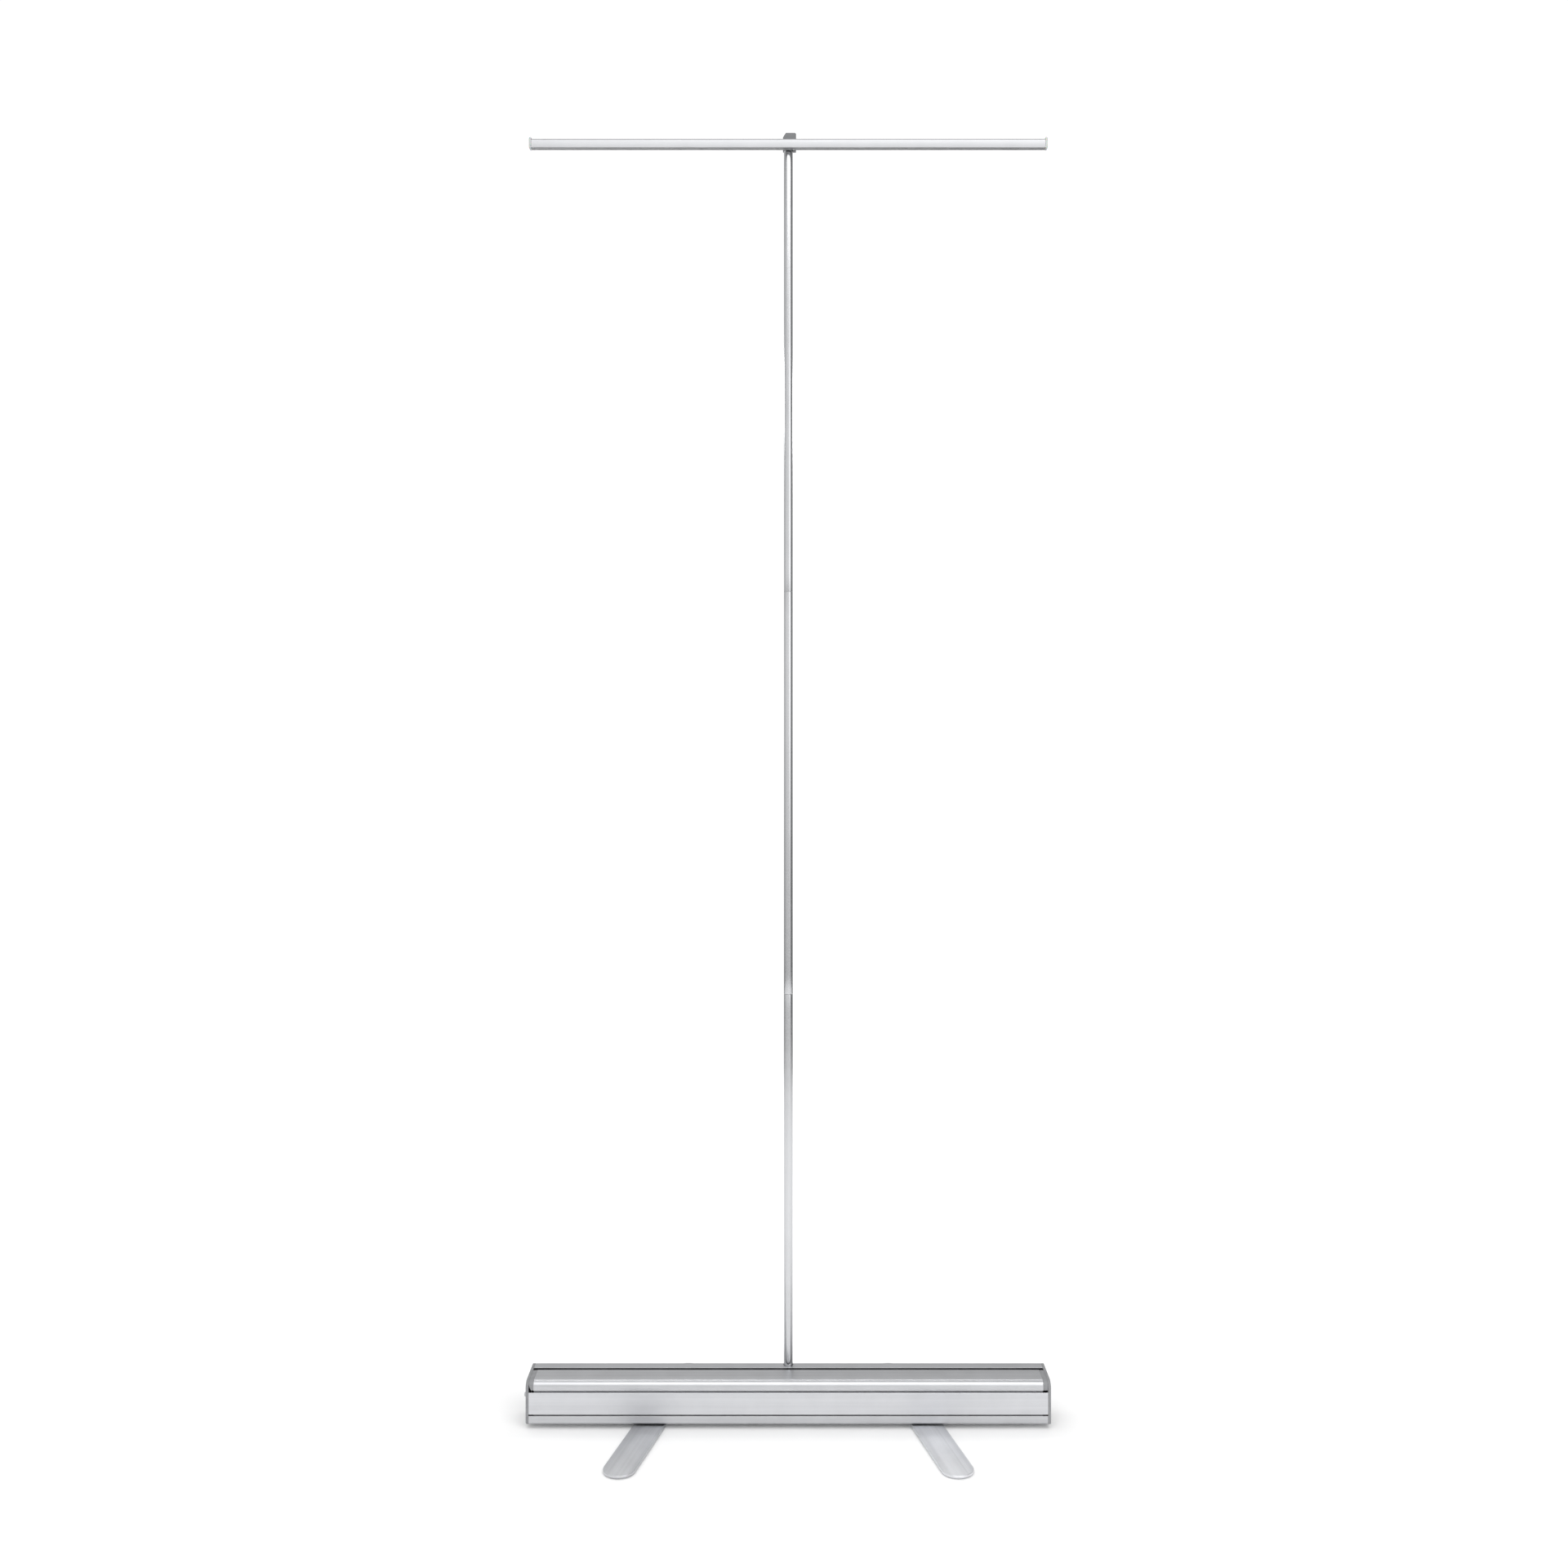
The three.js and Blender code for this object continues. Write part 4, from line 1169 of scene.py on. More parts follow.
    def locking_pin(self) -> None:
        """Spring pin with a knurled knob outside the left cap.

        Formula: the knob's radius sinks by a share of itself, the knurl's depth times the square
        of the sine of the angle times the knurls, between both rounded ends.
        """
        low, high = corners("locking_pin")
        y, z = self.middle("locking_pin")
        outer, tip = float(low[0]), float(high[0])
        count = 144
        angle = around(count)
        line = outline(
            corner(0.0, outer + 0.0003),
            corner(self.knob_radius * 0.45, outer, 0.001),
            corner(self.knob_radius, outer, 0.0009),
            corner(self.knob_radius, outer + self.knob_length, 0.0005),
            corner(self.pin_radius, outer + self.knob_length, 0.0002),
            corner(self.pin_radius, tip, 0.001),
            corner(0.0, tip),
            steps=6,
        )
        extra = np.linspace(outer + 0.0012, outer + self.knob_length - 0.0012, 6)
        knob = np.column_stack([np.full(6, self.knob_radius), extra])
        wide = (line[:, 0] > self.knob_radius - MERGE) & (line[:, 1] > outer + 0.0008)
        split = int(np.argmax(wide))
        line = np.vstack([line[: split + 1], knob, line[split + 1 :]])
        inside = (line[:, 1] > outer + PAST) & (line[:, 1] < outer + self.knob_length - PAST)
        grip = inside & (line[:, 0] > self.knob_radius * 0.95)
        sink = self.knurl_depth * grip[:, None] * np.sin(self.knurls * angle[None, :]) ** 2
        surface = turned_surface(line, Turning.X, (0, y, z), count, 1 - sink)
        dress(Shape("locking_knob").grid(surface).piece(40.0), ZINC, "locking_pin", "locking_pin")


# ------------------------------------------------------------------------------- feet


@dataclass
class Foot:
    """One swing-out foot: bar, washer, rivet and two pads.

    Attributes:
        tone: Tone of the feet, as a share of the cassette's.
        painted_light_step: Painted light, more tone on the right foot and less on the left.
    """

    side: Side
    length: float = 0.416
    width: float = 0.051
    bevel: float = 0.0008
    hole: float = 0.0043
    splay: float = math.radians(13.0)
    washer_hole: float = 0.0043
    rivet_radius: float = 0.004
    rivet_head: float = 0.007
    pad_radius: float = 0.009
    tone: float = 1.22
    # Painted light: the right foot is painted lighter and the left one darker, for the light
    # falling from the right.
    painted_light_step: float = 0.14
    roughness: float = 0.42

    def __post_init__(self) -> None:
        """Takes the pivot and the levels from the CAD nodes."""
        label = self.side.label
        self.node = f"foot_{label}"
        low, high = corners(self.node)
        self.bottom, self.top = float(low[2]), float(high[2])
        pivot_low, pivot_high = corners(f"foot_rivet_{label}")
        self.pivot = (pivot_low + pivot_high)[:2] / 2
        self.angle = self.side.value * self.splay
        # Painted light: each foot's tone is shifted by the side that the light falls on.
        share = self.tone + self.painted_light_step * self.side.value
        self.metal = DrawnMetal(
            f"anodised_foot_side_lit_{label}",
            "satin_aluminium",
            tuple(share * level for level in ALUMINIUM_DARK),
            tuple(share * level for level in ALUMINIUM_LIGHT),
            self.roughness,
            lay=Lay.ALONG_Y,
            turn=self.angle,
            line_width=0.0004,
        )

    def placed(self, points: Array) -> Array:
        """Points of the straight foot turned about its pivot.

        Formula: x is x cos a - y sin a, y is x sin a + y cos a, and both move to the pivot.
        """
        cos, sin = math.cos(self.angle), math.sin(self.angle)
        x, y = points[..., 0], points[..., 1]
        turned_x = x * cos - y * sin + self.pivot[0]
        turned_y = x * sin + y * cos + self.pivot[1]
        return np.stack([turned_x, turned_y, points[..., 2]], axis=-1)

    def build(self) -> None:
        """Makes every piece of the foot."""
        self.bar()
        self.washer()
        self.rivet()
        for place, sign in (("front", -1), ("rear", 1)):
            self.pad(place, sign)

    def bar(self) -> None:
        """Flat bar with full-round ends and softened edges, bored for its rivet.

        Formula: the outline is a rectangle whose corner radius is half its width. Its inset
        follows a chamfer with rounded turns, and the bore's rings take the outline's directions.
        """
        half = self.width / 2
        line = rectangle((-half, -self.length / 2), (half, self.length / 2), half, 40)
        flats = np.linspace(0.08, 0.92, 12)[:, None]
        side_a = np.array([half, self.length / 2 - half])
        extra = np.array([half, half - self.length / 2]) * (1 - flats) + side_a * flats
        line = np.vstack([line, extra, -extra])
        line = line[np.argsort(np.arctan2(line[:, 1], line[:, 0]))]
        rise = np.array([0.0, 0.08, 0.42, 0.85, 1.0])
        sunk = np.array([1.0, 0.72, 0.36, 0.06, 0.0])
        rise, sunk = self.bevel * rise, self.bevel * sunk
        heights = np.concatenate([self.bottom + rise, (self.top - rise)[::-1]])
        depths = np.concatenate([sunk, sunk[::-1]])
        rings = sections(line, heights, depths)
        direction = line / np.linalg.norm(line, axis=1)[:, None]
        bore = [
            np.column_stack([direction * radius, np.full(len(line), height)])
            for radius, height in (
                (self.hole + 0.0003, self.top),
                (self.hole, self.top - 0.0003),
                (self.hole, self.bottom + 0.0003),
                (self.hole + 0.0003, self.bottom),
            )
        ]
        surface = self.placed(np.stack([*rings, *bore]))
        shape = Shape(f"foot_bar_{self.side.label}").grid(surface, wrap=True)
        dress(shape.piece(28.0), self.metal, self.node, self.node)

    def washer(self) -> None:
        """Nylon washer between the foot and the cassette."""
        node = f"foot_washer_{self.side.label}"
        low, high = corners(node)
        radius = float(high[0] - low[0]) / 2
        line = outline(
            corner(self.washer_hole, low[2], 0.0002),
            corner(radius, low[2], 0.0003),
            corner(radius, high[2], 0.0003),
            corner(self.washer_hole, high[2], 0.0002),
        )
        centre = (*self.pivot, 0)
        shape = turned(f"nylon_washer_{self.side.label}", line, Turning.Z, centre, 64, tube=True)
        dress(shape.piece(), BLACK_PLASTIC, "base", node)

    def rivet(self) -> None:
        """Rivet with a domed head under the foot and a flattened head in the cassette."""
        node = f"foot_rivet_{self.side.label}"
        low, high = corners(node)
        under, over = float(low[2]), float(high[2])
        shank_low = self.bottom - 0.0003
        shank_high = over - 0.0018
        line = outline(
            corner(0.0, under),
            corner(self.rivet_head * 0.5, under + 0.00008, 0.004),
            corner(self.rivet_head, shank_low - 0.0005, 0.0006),
            corner(self.rivet_head, shank_low),
            corner(self.rivet_radius, shank_low),
            corner(self.rivet_radius, shank_high),
            corner(self.rivet_head, shank_high, 0.0004),
            corner(self.rivet_head - 0.0009, over, 0.0008),
            corner(self.rivet_head * 0.3, over, 0.001),
            corner(self.rivet_head * 0.22, over - 0.0006, 0.0004),
            corner(0.0, over - 0.0006),
            steps=6,
        )
        shape = turned(f"rivet_{self.side.label}", line, Turning.Z, (*self.pivot, 0), 48)
        dress(shape.piece(), ZINC, "base", node)

    def pad(self, place: str, sign: int) -> None:
        """Round rubber pad with three ring grooves in its sole."""
        node = f"foot_pad_{self.side.label}_{place}"
        low, high = corners(node)
        base, over = float(low[2]), float(high[2])
        grooves = [
            corner(radius + step, height, 0.0001)
            for radius in (0.0018, 0.0038, 0.0058)
            for step, height in (
                (0.0, base),
                (0.0002, base + 0.0004),
                (0.0006, base + 0.0004),
                (0.0008, base),
            )
        ]
        line = outline(
            corner(0.0, base),
            *grooves,
            corner(self.pad_radius - 0.0006, base, 0.0006),
            corner(self.pad_radius, base + 0.0008, 0.0006),
            corner(self.pad_radius, over, 0.0002),
            corner(0.0, over),
        )
        centre = np.append((low + high)[:2] / 2, 0.0)
        shape = turned(f"rubber_pad_{self.side.label}_{place}", line, Turning.Z, centre, 56)
        dress(shape.piece(), RUBBER, self.node, node)


# ------------------------------------------------------------------------------- pole


@dataclass
class Pole:
    """Three tubes, their ferrules and plugs, the cord inside and the socket below."""

    radius: float = 0.0075
    wall: float = 0.001
    ferrule_wall: float = 0.0014
    edge: float = 0.00035
    socket_wall_edge: float = 0.0006
    socket_bore: float = 0.0079
    socket_floor: float = 0.005
    cord_radius: float = 0.002
    yarn_pitch: float = 0.014
    yarn_relief: float = 0.035

    def __post_init__(self) -> None:
        """Takes the axis of the pole from its lower tube."""
        low, high = corners("pole_lower")
        self.axis = (low + high)[:2] / 2
        self.centre = (*self.axis, 0.0)

    def build(self) -> None:
        """Makes every piece of the pole."""
        for name in ("lower", "middle", "upper"):
            self.tube(name)
        self.ferrule("lower", "pole_lower")
        self.ferrule("upper", "pole_middle")
        self.plug("pole_foot_plug", "pole_lower", 1)
        self.plug("pole_top_plug", "pole_upper", -1)
        self.cord()
        self.socket()

    def tube(self, name: str) -> None:
        """Drawn tube with broken edges at both ends."""
        node = f"pole_{name}"
        low, high = corners(node)
        bore, edge = self.radius - self.wall, self.edge
        middle = np.linspace(low[2] + 0.05, high[2] - 0.05, 6)[:, None]
        outside = np.hstack([np.full_like(middle, self.radius), middle, np.zeros_like(middle)])
        line = outline(
            corner(bore, low[2], edge),
            corner(self.radius, low[2], edge),
            outside,
            corner(self.radius, high[2], edge),
            corner(bore, high[2], edge),
        )
        shape = turned(f"tube_{name}", line, Turning.Z, self.centre, 96, tube=True)
        dress(shape.piece(40.0), POLE_METAL, node, node)

    def ferrule(self, name: str, body: str) -> None:
        """Sleeve that joins two tubes, with a tapered lead-in on its free end."""
        node = f"pole_ferrule_{name}"
        low, high = corners(node)
        radius = float(high[0] - low[0]) / 2
        bore = radius - self.ferrule_wall
        line = outline(
            corner(bore, low[2], 0.0003),
            corner(radius, low[2], 0.0003),
            corner(radius, high[2] - 0.003, 0.002),
            corner(radius - 0.0006, high[2], 0.0003),
            corner(bore, high[2], 0.0003),
        )
        shape = turned(f"ferrule_{name}", line, Turning.Z, self.centre, 64, tube=True)
        dress(shape.piece(), POLE_METAL, body, node)

    def plug(self, node: str, body: str, sign: int) -> None:
        """Moulded plug with a rounded head and three grip rings on its stem.

        Args:
            node: CAD node that it stands for.
            body: Body that it rides on.
            sign: 1 where the head is below the stem, -1 where it is above.
        """
        low, high = corners(node)
        start, end = (low[2], high[2]) if sign > 0 else (high[2], low[2])
        head, stem = 0.0027, self.radius - self.wall - 0.0003
        rings = [
            corner(stem - step, start + sign * (head + height), 0.0002)
            for base in (0.004, 0.009, 0.014)
            for step, height in (
                (0.0, base),
                (0.0005, base + 0.0006),
                (0.0005, base + 0.0022),
                (0.0, base + 0.0028),
            )
        ]
        line = outline(
            corner(0.0, start),
            corner(self.radius, start, 0.0012),
            corner(self.radius, start + sign * head, 0.0002),
            corner(stem, start + sign * head, 0.0001),
            *rings,
            corner(stem, end, 0.001),
            corner(0.0, end),
            steps=6,
        )
        shape = turned(f"{node}_moulding", line, Turning.Z, self.centre, 64)
        dress(shape.piece(), GREY_PLASTIC, body, node)

    def cord(self) -> None:
        """Elastic cord, straight from plug to plug, its sleeve's yarns slightly raised.

        Formula: the radius sinks by a share of one minus the product of the sines of both
        winding directions.
        """
        low, high = corners("shock_cord")
        count, rings = 20, 1100
        yarns = 4
        along = np.linspace(low[2], high[2], rings)
        angle = around(count)
        rise = 2 * math.pi * along[:, None] / self.yarn_pitch
        weave = np.sin(yarns * (angle + rise)) * np.sin(yarns * (angle - rise))
        profile = np.column_stack([np.full(rings, self.cord_radius), along])
        ripple = 1 - self.yarn_relief * (1 - weave)
        surface = turned_surface(profile, Turning.Z, self.centre, count, ripple)
        shape = Shape("elastic_cord").grid(surface).lid(surface[0]).lid(surface[-1])
        finish = BraidedSleeve(
            "braided_cord",
            "elastic_cord",
            (0.012, 0.012, 0.013),
            (0.07, 0.07, 0.075),
            0.8,
            axis=(float(self.axis[0]), float(self.axis[1])),
            pitch=self.yarn_pitch,
        )
        dress(shape.piece(), finish, "pole_lower", "shock_cord")

    def socket(self) -> None:
        """Block in the cassette that the pole stands in, with a flared mouth.

        Formula: the block's rings take the outline's points, and the bore's rings take the same
        directions at the bore's radius.
        """
        low, high = corners("pole_socket")
        line = rectangle((low[0], low[1]), (high[0], high[1]), 0.0015, 8)
        share = np.linspace(0, 1, 25)[None, :-1, None]
        following = np.roll(line, -1, axis=0)
        far = np.linalg.norm(following - line, axis=1) > 0.005
        split = line[far][:, None, :] * (1 - share) + following[far][:, None, :] * share
        line = np.vstack([line, split[:, 1:].reshape(-1, 2)])
        offset = line - self.axis
        line = line[np.argsort(np.arctan2(offset[:, 1], offset[:, 0]))]
        offset = line - self.axis
        direction = offset / np.linalg.norm(offset, axis=1)[:, None]
        edge = self.socket_wall_edge
        outer = sections(line, (low[2], low[2] + edge, high[2] - edge, high[2]), (edge, 0, 0, edge))
        inner = [
            np.column_stack([self.axis + direction * radius, np.full(len(line), height)])
            for radius, height in (
                (self.socket_bore + edge, high[2]),
                (self.socket_bore, high[2] - 2 * edge),
                (self.socket_bore, low[2] + self.socket_floor),
                (0.0, low[2] + self.socket_floor),
            )
        ]
        foot = [np.column_stack([self.axis + 0.0 * direction, np.full(len(line), low[2])])]
        shape = Shape("socket_block").grid(np.stack([*foot, *outer, *inner]))
        dress(shape.piece(), GREY_PLASTIC, "base", "pole_socket")


# ------------------------------------------------------------------------------- clamp rail


@dataclass
class ClampRail:
    """Two hinged jaws, their end caps and the hanger that sits on the pole."""

    jaw: float = 0.0018
    bead: float = 0.0016
    claw: float = 0.0034
    fit: float = 0.0003
    grip_lip: float = 0.0011
    grip_gap: float = 0.0006
    groove_floor: float = 0.009
    groove_lip: float = 0.0112
    web: float = 0.0012
    groove_levels: tuple[float, float, float, float] = (0.0033, 0.0048, 0.0108, 0.0123)
    cap_wall: float = 0.0036
    cap_corner: float = 0.003
    ramp: Point = (0.0048, 0.0075)
    hanger_corner: float = 0.0026
    pole_bore: float = 0.0079
    grip_lines: int = 4

    def __post_init__(self) -> None:
        """Takes the rail's front, underside and height from its jaws."""
        low, high = corners("rail_rear_jaw")
        front = corners("rail_front_jaw")[0]
        self.half = float(high[0])
        self.y, self.z = float(front[1]), float(low[2])
        self.depth = float(high[1]) - self.y
        self.height = float(high[2] - low[2])
        self.hinge = (self.y + self.claw, self.z + self.height - self.claw)
        self.inner_wall = self.groove_floor - self.web

    def at(self, y: float, z: float, radius: float = 0.0) -> Array:
        """Corner measured from the rail's front and underside."""
        return corner(self.y + y, self.z + z, radius)

    def build(self) -> None:
        """Makes every piece of the rail."""
        self.rear_jaw()
        self.front_jaw()
        for side in Side:
            self.cap(side)
        self.hanger()

    def rear_jaw(self) -> None:
        """Rear jaw with its hinge bead, gripping lip and the T-groove behind."""
        half_neck = self.bead / 2
        pocket = self.claw + self.fit
        grip = self.inner_wall - self.grip_lip
        low, mouth_low, mouth_high, high = self.groove_levels
        depth, height, small = self.depth, self.height, 0.0002
        turn = math.degrees(math.asin(half_neck / self.bead))
        line = outline(
            self.at(grip, 0, small),
            self.at(depth, 0, 0.0006),
            self.at(depth, mouth_low, 0.0003),
            self.at(self.groove_lip, mouth_low, small),
            self.at(self.groove_lip, low, small),
            self.at(self.groove_floor, low, small),
            self.at(self.groove_floor, high, small),
            self.at(self.groove_lip, high, small),
            self.at(self.groove_lip, mouth_high, small),
            self.at(depth, mouth_high, 0.0003),
            self.at(depth, height, 0.0006),
            self.at(self.claw + pocket * math.cos(math.radians(41)), height, 0.0003),
            arc(self.hinge, pocket, 41.0, math.degrees(math.asin(half_neck / pocket)), 8),
            arc(self.hinge, self.bead, turn, 360.0 - turn, 24),
            self.at(self.inner_wall, height - self.claw - half_neck, small),
            self.at(self.inner_wall, self.jaw, small),
            self.at(grip, self.jaw, small),
            steps=5,
        )
        piece = drawn("rail_back", [line], -self.half, self.half).piece()
        dress(piece, RAIL_METAL, "rail", "rail_rear_jaw")

    def front_jaw(self) -> None:
        """Front jaw whose claw turns on the rear jaw's bead."""
        grip = self.inner_wall - self.grip_lip - self.grip_gap
        line = outline(
            arc(self.hinge, self.claw, 80.0, 180.0, 22),
            self.at(0, 0, 0.0007),
            self.at(grip, 0, 0.0002),
            self.at(grip, self.jaw, 0.0002),
            self.at(self.jaw, self.jaw, 0.0004),
            self.at(self.jaw, self.height - 2 * self.claw, 0.0003),
            arc(self.hinge, self.claw, 262.0, 262.0, 1),
            arc(self.hinge, self.bead + self.fit, 262.0, 80.0, 20),
            steps=6,
        )
        piece = drawn("rail_front", [line], -self.half, self.half).piece()
        dress(piece, RAIL_METAL, "rail_front_jaw", "rail_front_jaw")

    def cap(self, side: Side) -> None:
        """Milky end cap: a rounded plate with a plug in the T-groove."""
        node = f"rail_cap_{side.label}"
        low, high = corners(node)
        outer = max(abs(low[0]), abs(high[0]))
        inner = outer - self.cap_wall
        plate = outline(
            corner(inner, low[2], 0.0007),
            corner(outer, low[2], 0.0012),
            corner(outer, high[2], self.cap_corner),
            corner(inner, high[2], 0.0008),
            steps=8,
        )
        shape = self.softened(f"rail_cap_moulding_{side.label}", plate, low[1], high[1], 0.0005)
        reach = min(abs(low[0]), abs(high[0]))
        stem = self.groove_foot(f"rail_cap_plug_{side.label}", reach, inner + PAST)
        body = shape.mirrored(side.value).piece()
        dress(carved(body, [], [stem.mirrored(side.value)]), CLEAR_PLASTIC, "rail", node)

    def groove_foot(self, name: str, start: float, end: float) -> Shape:
        """Bar that fills the wide part of the T-groove with a little play."""
        low, _, _, high = self.groove_levels
        line = rectangle(
            (self.y + self.groove_floor + self.fit, self.z + low + self.fit),
            (self.y + self.groove_lip - self.fit, self.z + high - self.fit),
            0.0003,
        )
        return drawn(name, [line], start, end)

    @staticmethod
    def softened(name: str, line: Array, start: float, end: float, soft: float) -> Shape:
        """Outline in x and z carried along y, with round edges at both ends.

        Formula: at each end the inset is soft * (1 - cos a) and the place moves by
        soft * (1 - sin a), for a from 90 to 0 degrees.
        """
        turn = np.radians(np.linspace(90, 0, 5))
        depths = soft * (1 - np.cos(turn))
        places = soft * (1 - np.sin(turn))
        rings = sections(line, [*(start + places), *(end - places[::-1])], [*depths, *depths[::-1]])
        stack = [swung(ring, ALONG_Y) for ring in rings]
        return Shape(name).grid(np.stack(stack)).lid(stack[0]).lid(stack[-1])

    def hanger(self) -> None:
        """Moulded hanger: ramped block over the pole's top, with a foot in the T-groove."""
        low, high = corners("rail_hanger")
        left, _, bottom = (float(place) for place in low)
        right, back, top = (float(place) for place in high)
        front = self.y + self.depth + self.fit
        line = outline(
            corner(left, bottom, 0.0008),
            corner(right, bottom, 0.0008),
            corner(right, top, self.hanger_corner),
            corner(left + self.ramp[0], top, 0.0009),
            corner(left, top - self.ramp[1], 0.0012),
            steps=8,
        )
        body = self.softened("hanger_moulding", line, front, back, 0.0006).piece()
        pole = corners("pole_upper")
        axis = (pole[0] + pole[1])[:2] / 2
        roof = float(corners("pole_top_plug")[1][2]) + self.fit
        bore = outline(
            corner(0.0, bottom - PAST),
            corner(self.pole_bore + 0.0006, bottom - PAST),
            corner(self.pole_bore + 0.0006, bottom),
            corner(self.pole_bore, bottom + 0.0009),
            corner(self.pole_bore, roof, 0.0006),
            corner(0.0, roof),
        )
        _, mouth_low, mouth_high, _ = self.groove_levels
        head = self.groove_foot("hanger_foot", left, right)
        neck_line = rectangle(
            (self.y + self.groove_lip - self.fit - 0.0002, self.z + mouth_low + self.fit),
            (front + 0.0008, self.z + mouth_high - self.fit),
            0.0,
        )
        neck = drawn("hanger_neck", [neck_line], left + 0.0004, right - 0.0004)
        grooves = []
        for number in range(self.grip_lines):
            near = front + 0.004 + 0.0035 * number
            groove = rectangle((near, bottom + 0.004), (near + 0.001, top - 0.011), 0.0004)
            name = f"grip_line_{number}"
            grooves.append(drawn(name, [groove], right - 0.0005, right + PAST))
        cutters = [turned("pole_bore", bore, Turning.Z, (*axis, 0), 64), *grooves]
        dress(carved(body, cutters, [neck, head]), HANGER_PLASTIC, "rail", "rail_hanger")


# ------------------------------------------------------------------------------- roller works


@dataclass
class RollerWorks:
    """Wound spring and leader film; the other roller pieces keep their CAD meshes."""

    wire: float = 0.00085
    pitch: float = 0.0021
    film: float = 0.00022
    film_gap: float = 0.00035
    laps: int = 3

    def build(self) -> None:
        """Makes the spring and the film."""
        self.spring()
        self.leader()

    def spring(self) -> None:
        """Close-wound torsion spring.

        Formula: the wire's middle is on a helix of the coil's radius. A ring about it uses the
        outward direction and the binormal of the helix, and the end rings shrink to a point.
        """
        low, high = corners("torsion_spring")
        centre = (low + high) / 2
        coil = float(high[1] - low[1]) / 2 - self.wire
        length = float(high[0] - low[0]) - 2 * self.wire
        turns = length / self.pitch
        steps = int(turns * 26)
        place = np.linspace(0, 1, steps)
        angle = 2 * math.pi * turns * place
        outward = np.stack([np.zeros(steps), np.cos(angle), np.sin(angle)], axis=1)
        slope = self.pitch / (2 * math.pi * coil)
        tangent = np.stack([np.full(steps, slope), -np.sin(angle), np.cos(angle)], axis=1)
        tangent /= np.linalg.norm(tangent, axis=1)[:, None]
        across = np.cross(tangent, outward)
        middle = outward * coil + centre
        middle[:, 0] = low[0] + self.wire + length * place
        round_wire = around(8)
        thick = np.full(steps, self.wire)
        thick[[0, -1]] = 0.0
        thick[[1, -2]] *= 0.8
        ring = (
            np.cos(round_wire)[None, :, None] * outward[:, None, :]
            + np.sin(round_wire)[None, :, None] * across[:, None, :]
        )
        surface = middle[:, None, :] + ring * thick[:, None, None]
        dress(Shape("wound_spring").grid(surface).piece(60.0), SPRING, "roller", "torsion_spring")

    def leader(self) -> None:
        """Leader film wound on the tube.

        Formula: the outer radius grows evenly with the angle over the laps. A ring of four points
        at each angle has the outer radius at both edges of the film and that radius less the
        film's thickness at both edges.
        """
        low, high = corners("leader_film")
        tube_low, tube_high = corners("roller_tube")
        axis = (tube_low + tube_high) / 2
        inner = float(tube_high[2] - tube_low[2]) / 2 + self.film_gap
        outer = float(high[2] - low[2]) / 2 - 0.0001
        angle = np.linspace(0, 2 * math.pi * self.laps, 72 * self.laps)
        radius = inner + self.film + (outer - inner - self.film) * angle / angle[-1]
        reach = radius[:, None] - np.array([0.0, 0.0, self.film, self.film])
        across = np.array([low[0], high[0], high[0], low[0]]) * np.ones((len(angle), 1))
        y, z = (wave(angle)[:, None] * reach for wave in (np.cos, np.sin))
        surface = np.stack([across, axis[1] + y, axis[2] + z], axis=-1)
        shape = Shape("wound_leader").grid(surface).lid(surface[0]).lid(surface[-1])
        dress(shape.piece(), FILM, "roller", "leader_film")


def dress_kept_nodes(frame: dict[str, Any]) -> None:
    """Gives every CAD node the finish of its slot in the record.
    """
    for part in frame["record"]["subparts"]:
        node = frame["nodes"][part["node"]]
        finish = SLOT_FINISH.get(part["material_slot"], RUBBER)
        if part["node"].startswith("pole_"):
            finish = POLE_METAL if finish is CASSETTE_METAL else finish
        if not node.material_slots:
            node.data.materials.append(finish.material())
        for slot in node.material_slots:
            slot.material = finish.material()
        LOG.info("%s: CAD mesh in %s", part["node"], finish.name)


# ------------------------------------------------------------------------------- studio


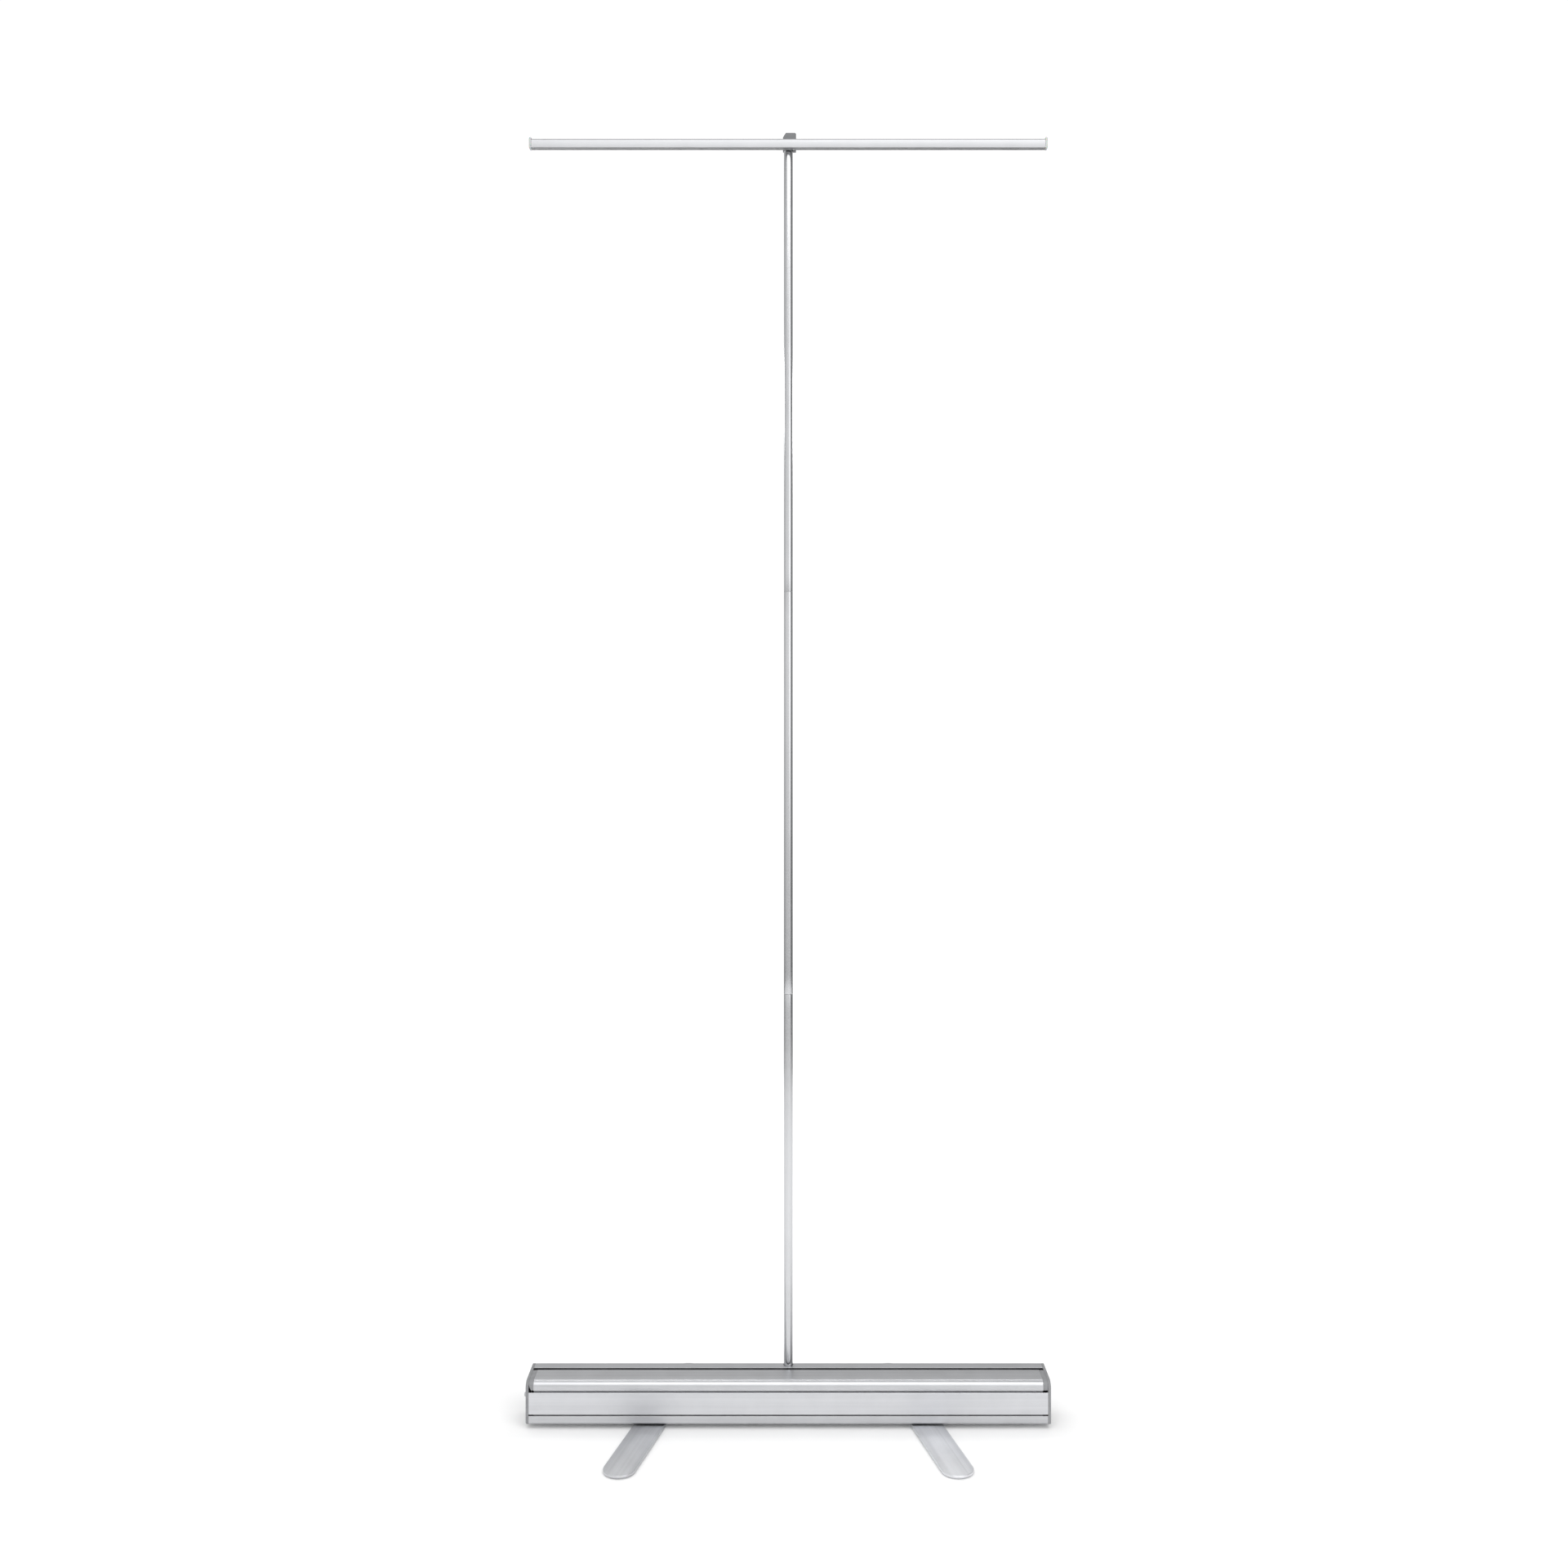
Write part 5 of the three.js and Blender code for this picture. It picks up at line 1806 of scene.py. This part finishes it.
@dataclass
class Studio:
    """Pale floor, soft lights, surroundings and camera.

    Attributes:
        floor_radius: Radius of the round floor in metres.
        floor_glow: Painted light that the floor gives off away from the object, though it is no
        lamp; it fades round the object, which paints a shadow there.
        white: Brightness of the background that the camera sees.
        peak: Highest level that the ramps of the surroundings can hold.
        aim: Place that every lamp points at.
        camera_place: Place of the lens.
        shift: Share of the picture's width by which the lens is moved, so that the camera
            stays level.
        azimuth_levels: Brightness of the surroundings by turn, from the back over the left,
            front and right to the back again.
        height_levels: Brightness by height, from straight down to straight up.
    """

    floor_radius: float = 2.4
    floor_glow: float = 0.25
    white: float = 1.05
    peak: float = 2.0
    aim: tuple[float, float, float] = (0.2, 0.0, 0.0)
    camera_place: tuple[float, float, float] = (0.0, -2.540, 1.1758)
    focal_length: float = 35.08
    sensor: float = 36.0
    shift: Point = (-0.00276, -0.0465)
    azimuth_levels: tuple[tuple[float, float], ...] = (
        (0.0, 0.76),
        (0.05, 0.88),
        (0.20, 0.86),
        (0.26, 0.86),
        (0.33, 1.14),
        (0.42, 1.24),
        (0.52, 1.24),
        (0.565, 1.36),
        (0.61, 1.38),
        (0.66, 1.12),
        (0.71, 0.50),
        (0.745, 0.16),
        (0.785, 0.16),
        (0.82, 0.66),
        (0.88, 0.85),
        (0.94, 0.64),
        (1.0, 0.76),
    )
    height_levels: tuple[tuple[float, float], ...] = (
        (0.0, 0.25),
        (0.36, 0.30),
        (0.47, 0.70),
        (0.5, 0.90),
        (0.58, 0.76),
        (0.68, 0.70),
        (0.78, 0.90),
        (0.90, 0.95),
        (1.0, 0.78),
    )

    def build(self) -> None:
        """Makes the whole studio."""
        self.floor()
        self.surroundings()
        self.lights()
        self.camera()

    def floor(self) -> None:
        """Round plain floor just under the pads.

        Formula: the painted glow grows from nearly nothing round the object, a painted shadow
        there, to its full strength, by the root of the sum of squares of half the x and the y of
        the place.
        """
        rim = circle((0.0, 0.0), self.floor_radius, 96)
        loop = np.column_stack([rim, np.full(len(rim), -0.0002)])
        piece = Shape("studio_floor").lid(loop).piece()
        material = bpy.data.materials.new("pale_floor")
        material.use_nodes = True
        recipe = Recipe(material.node_tree)
        clouds = recipe.noise((3.0, 3.0, 3.0), 0.0, 3.0)
        colour = recipe.mix(clouds, (0.95, 0.95, 0.95), (0.98, 0.98, 0.98))
        place = recipe.add("SeparateXYZ", {}, {0: recipe.add("TexCoord").outputs["Object"]})
        x, y = (recipe.value(place, k) for k in range(2))
        away = ((x * 0.5) ** 2 + y**2) ** 0.5
        # Painted light and painted shadow: the floor glows though it is no lamp, and less round the
        # object so that its shadow there reads darker.
        glow = recipe.mix(away.over(0.15, 0.7), (0.015, 0.015, 0.015), (self.floor_glow,) * 3)
        shader = recipe.add(
            "BsdfPrincipled",
            {},
            {
                "Base Color": colour,
                "Roughness": 0.9,
                "Specular IOR Level": 0.1,
                "Emission Color": glow,
                "Emission Strength": 1.0,
            },
        )
        recipe.add("OutputMaterial", {}, {"Surface": shader.outputs[0]})
        piece.data.materials.append(material)

    def surroundings(self) -> None:
        """White behind the object, and soft grey steps for what the metal mirrors.

        Formula: brightness is the level of the direction's turn about Z times the level of its
        height; only what is seen straight from the camera is plain white.
        """
        world = bpy.data.worlds.new("studio_surroundings")
        bpy.context.scene.world = world
        world.use_nodes = True
        recipe = Recipe(world.node_tree)
        parts = recipe.add("SeparateXYZ", {}, {0: recipe.add("TexCoord").outputs["Generated"]})
        x, y, z = (recipe.value(parts, k) for k in range(3))
        turn = x.math("ARCTAN2", x, y * -1.0) * (1 / (2 * math.pi)) + 0.5
        scaled = [
            tuple((place, level / self.peak) for place, level in levels)
            for levels in (self.azimuth_levels, self.height_levels)
        ]
        around = recipe.add("ValToRGB", {"stops": scaled[0]}, {0: turn})
        upward = recipe.add("ValToRGB", {"stops": scaled[1]}, {0: z * 0.5 + 0.5})
        level = recipe.value(around) * recipe.value(upward) * self.peak**2
        soft = recipe.add("Background", {}, {"Color": (1, 1, 1, 1), "Strength": level})
        plain = recipe.add("Background", {}, {"Color": (1, 1, 1, 1), "Strength": self.white})
        seen = recipe.add("LightPath").outputs["Is Camera Ray"]
        mixed = recipe.add("MixShader", {}, {0: seen, 1: soft.outputs[0], 2: plain.outputs[0]})
        recipe.add("OutputWorld", {}, {"Surface": mixed.outputs[0]})

    def lights(self) -> None:
        """Large soft light above the front, a dimmer one to its right and a strip behind."""
        for name, place, size, power in (
            ("overhead_softbox", (0.5, -1.9, 3.3), (3.4, 1.7), 29.0),
            ("right_softbox", (1.8, -2.0, 1.6), (2.0, 1.9), 7.0),
            ("rear_strip", (0.0, 0.85, 1.9), (2.6, 0.2), 6.0),
        ):
            lamp = bpy.data.lights.new(name, "AREA")
            lamp.shape, lamp.size, lamp.size_y, lamp.energy = "RECTANGLE", *size, power
            holder = bpy.data.objects.new(name, lamp)
            bpy.context.scene.collection.objects.link(holder)
            holder.location = place
            aim = np.array(self.aim) - np.array(place)
            holder.rotation_mode = "QUATERNION"
            holder.rotation_quaternion = Vector(aim).to_track_quat("-Z", "Y")
            holder.visible_camera = False

    def camera(self) -> None:
        """Level camera in front of the stand, about half-way up."""
        lens = bpy.data.cameras.new("camera")
        lens.sensor_width, lens.lens = self.sensor, self.focal_length
        lens.shift_x, lens.shift_y = self.shift
        lens.clip_start, lens.clip_end = 0.05, 60.0
        holder = bpy.data.objects.new("camera", lens)
        bpy.context.scene.collection.objects.link(holder)
        holder.location = self.camera_place
        holder.rotation_euler = (math.radians(90.0), 0.0, 0.0)
        bpy.context.scene.camera = holder


def main() -> None:
    """Builds the stand and its studio in order."""
    logging.basicConfig(level=logging.INFO, format="%(name)s: %(message)s", stream=sys.stdout)
    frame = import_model()
    Studio().build()
    dress_kept_nodes(frame)
    Cassette().build()
    for side in Side:
        Foot(side).build()
    Pole().build()
    ClampRail().build()
    RollerWorks().build()
    bpy.context.scene.view_settings.view_transform = "Standard"


if __name__ == "__main__":
    main()
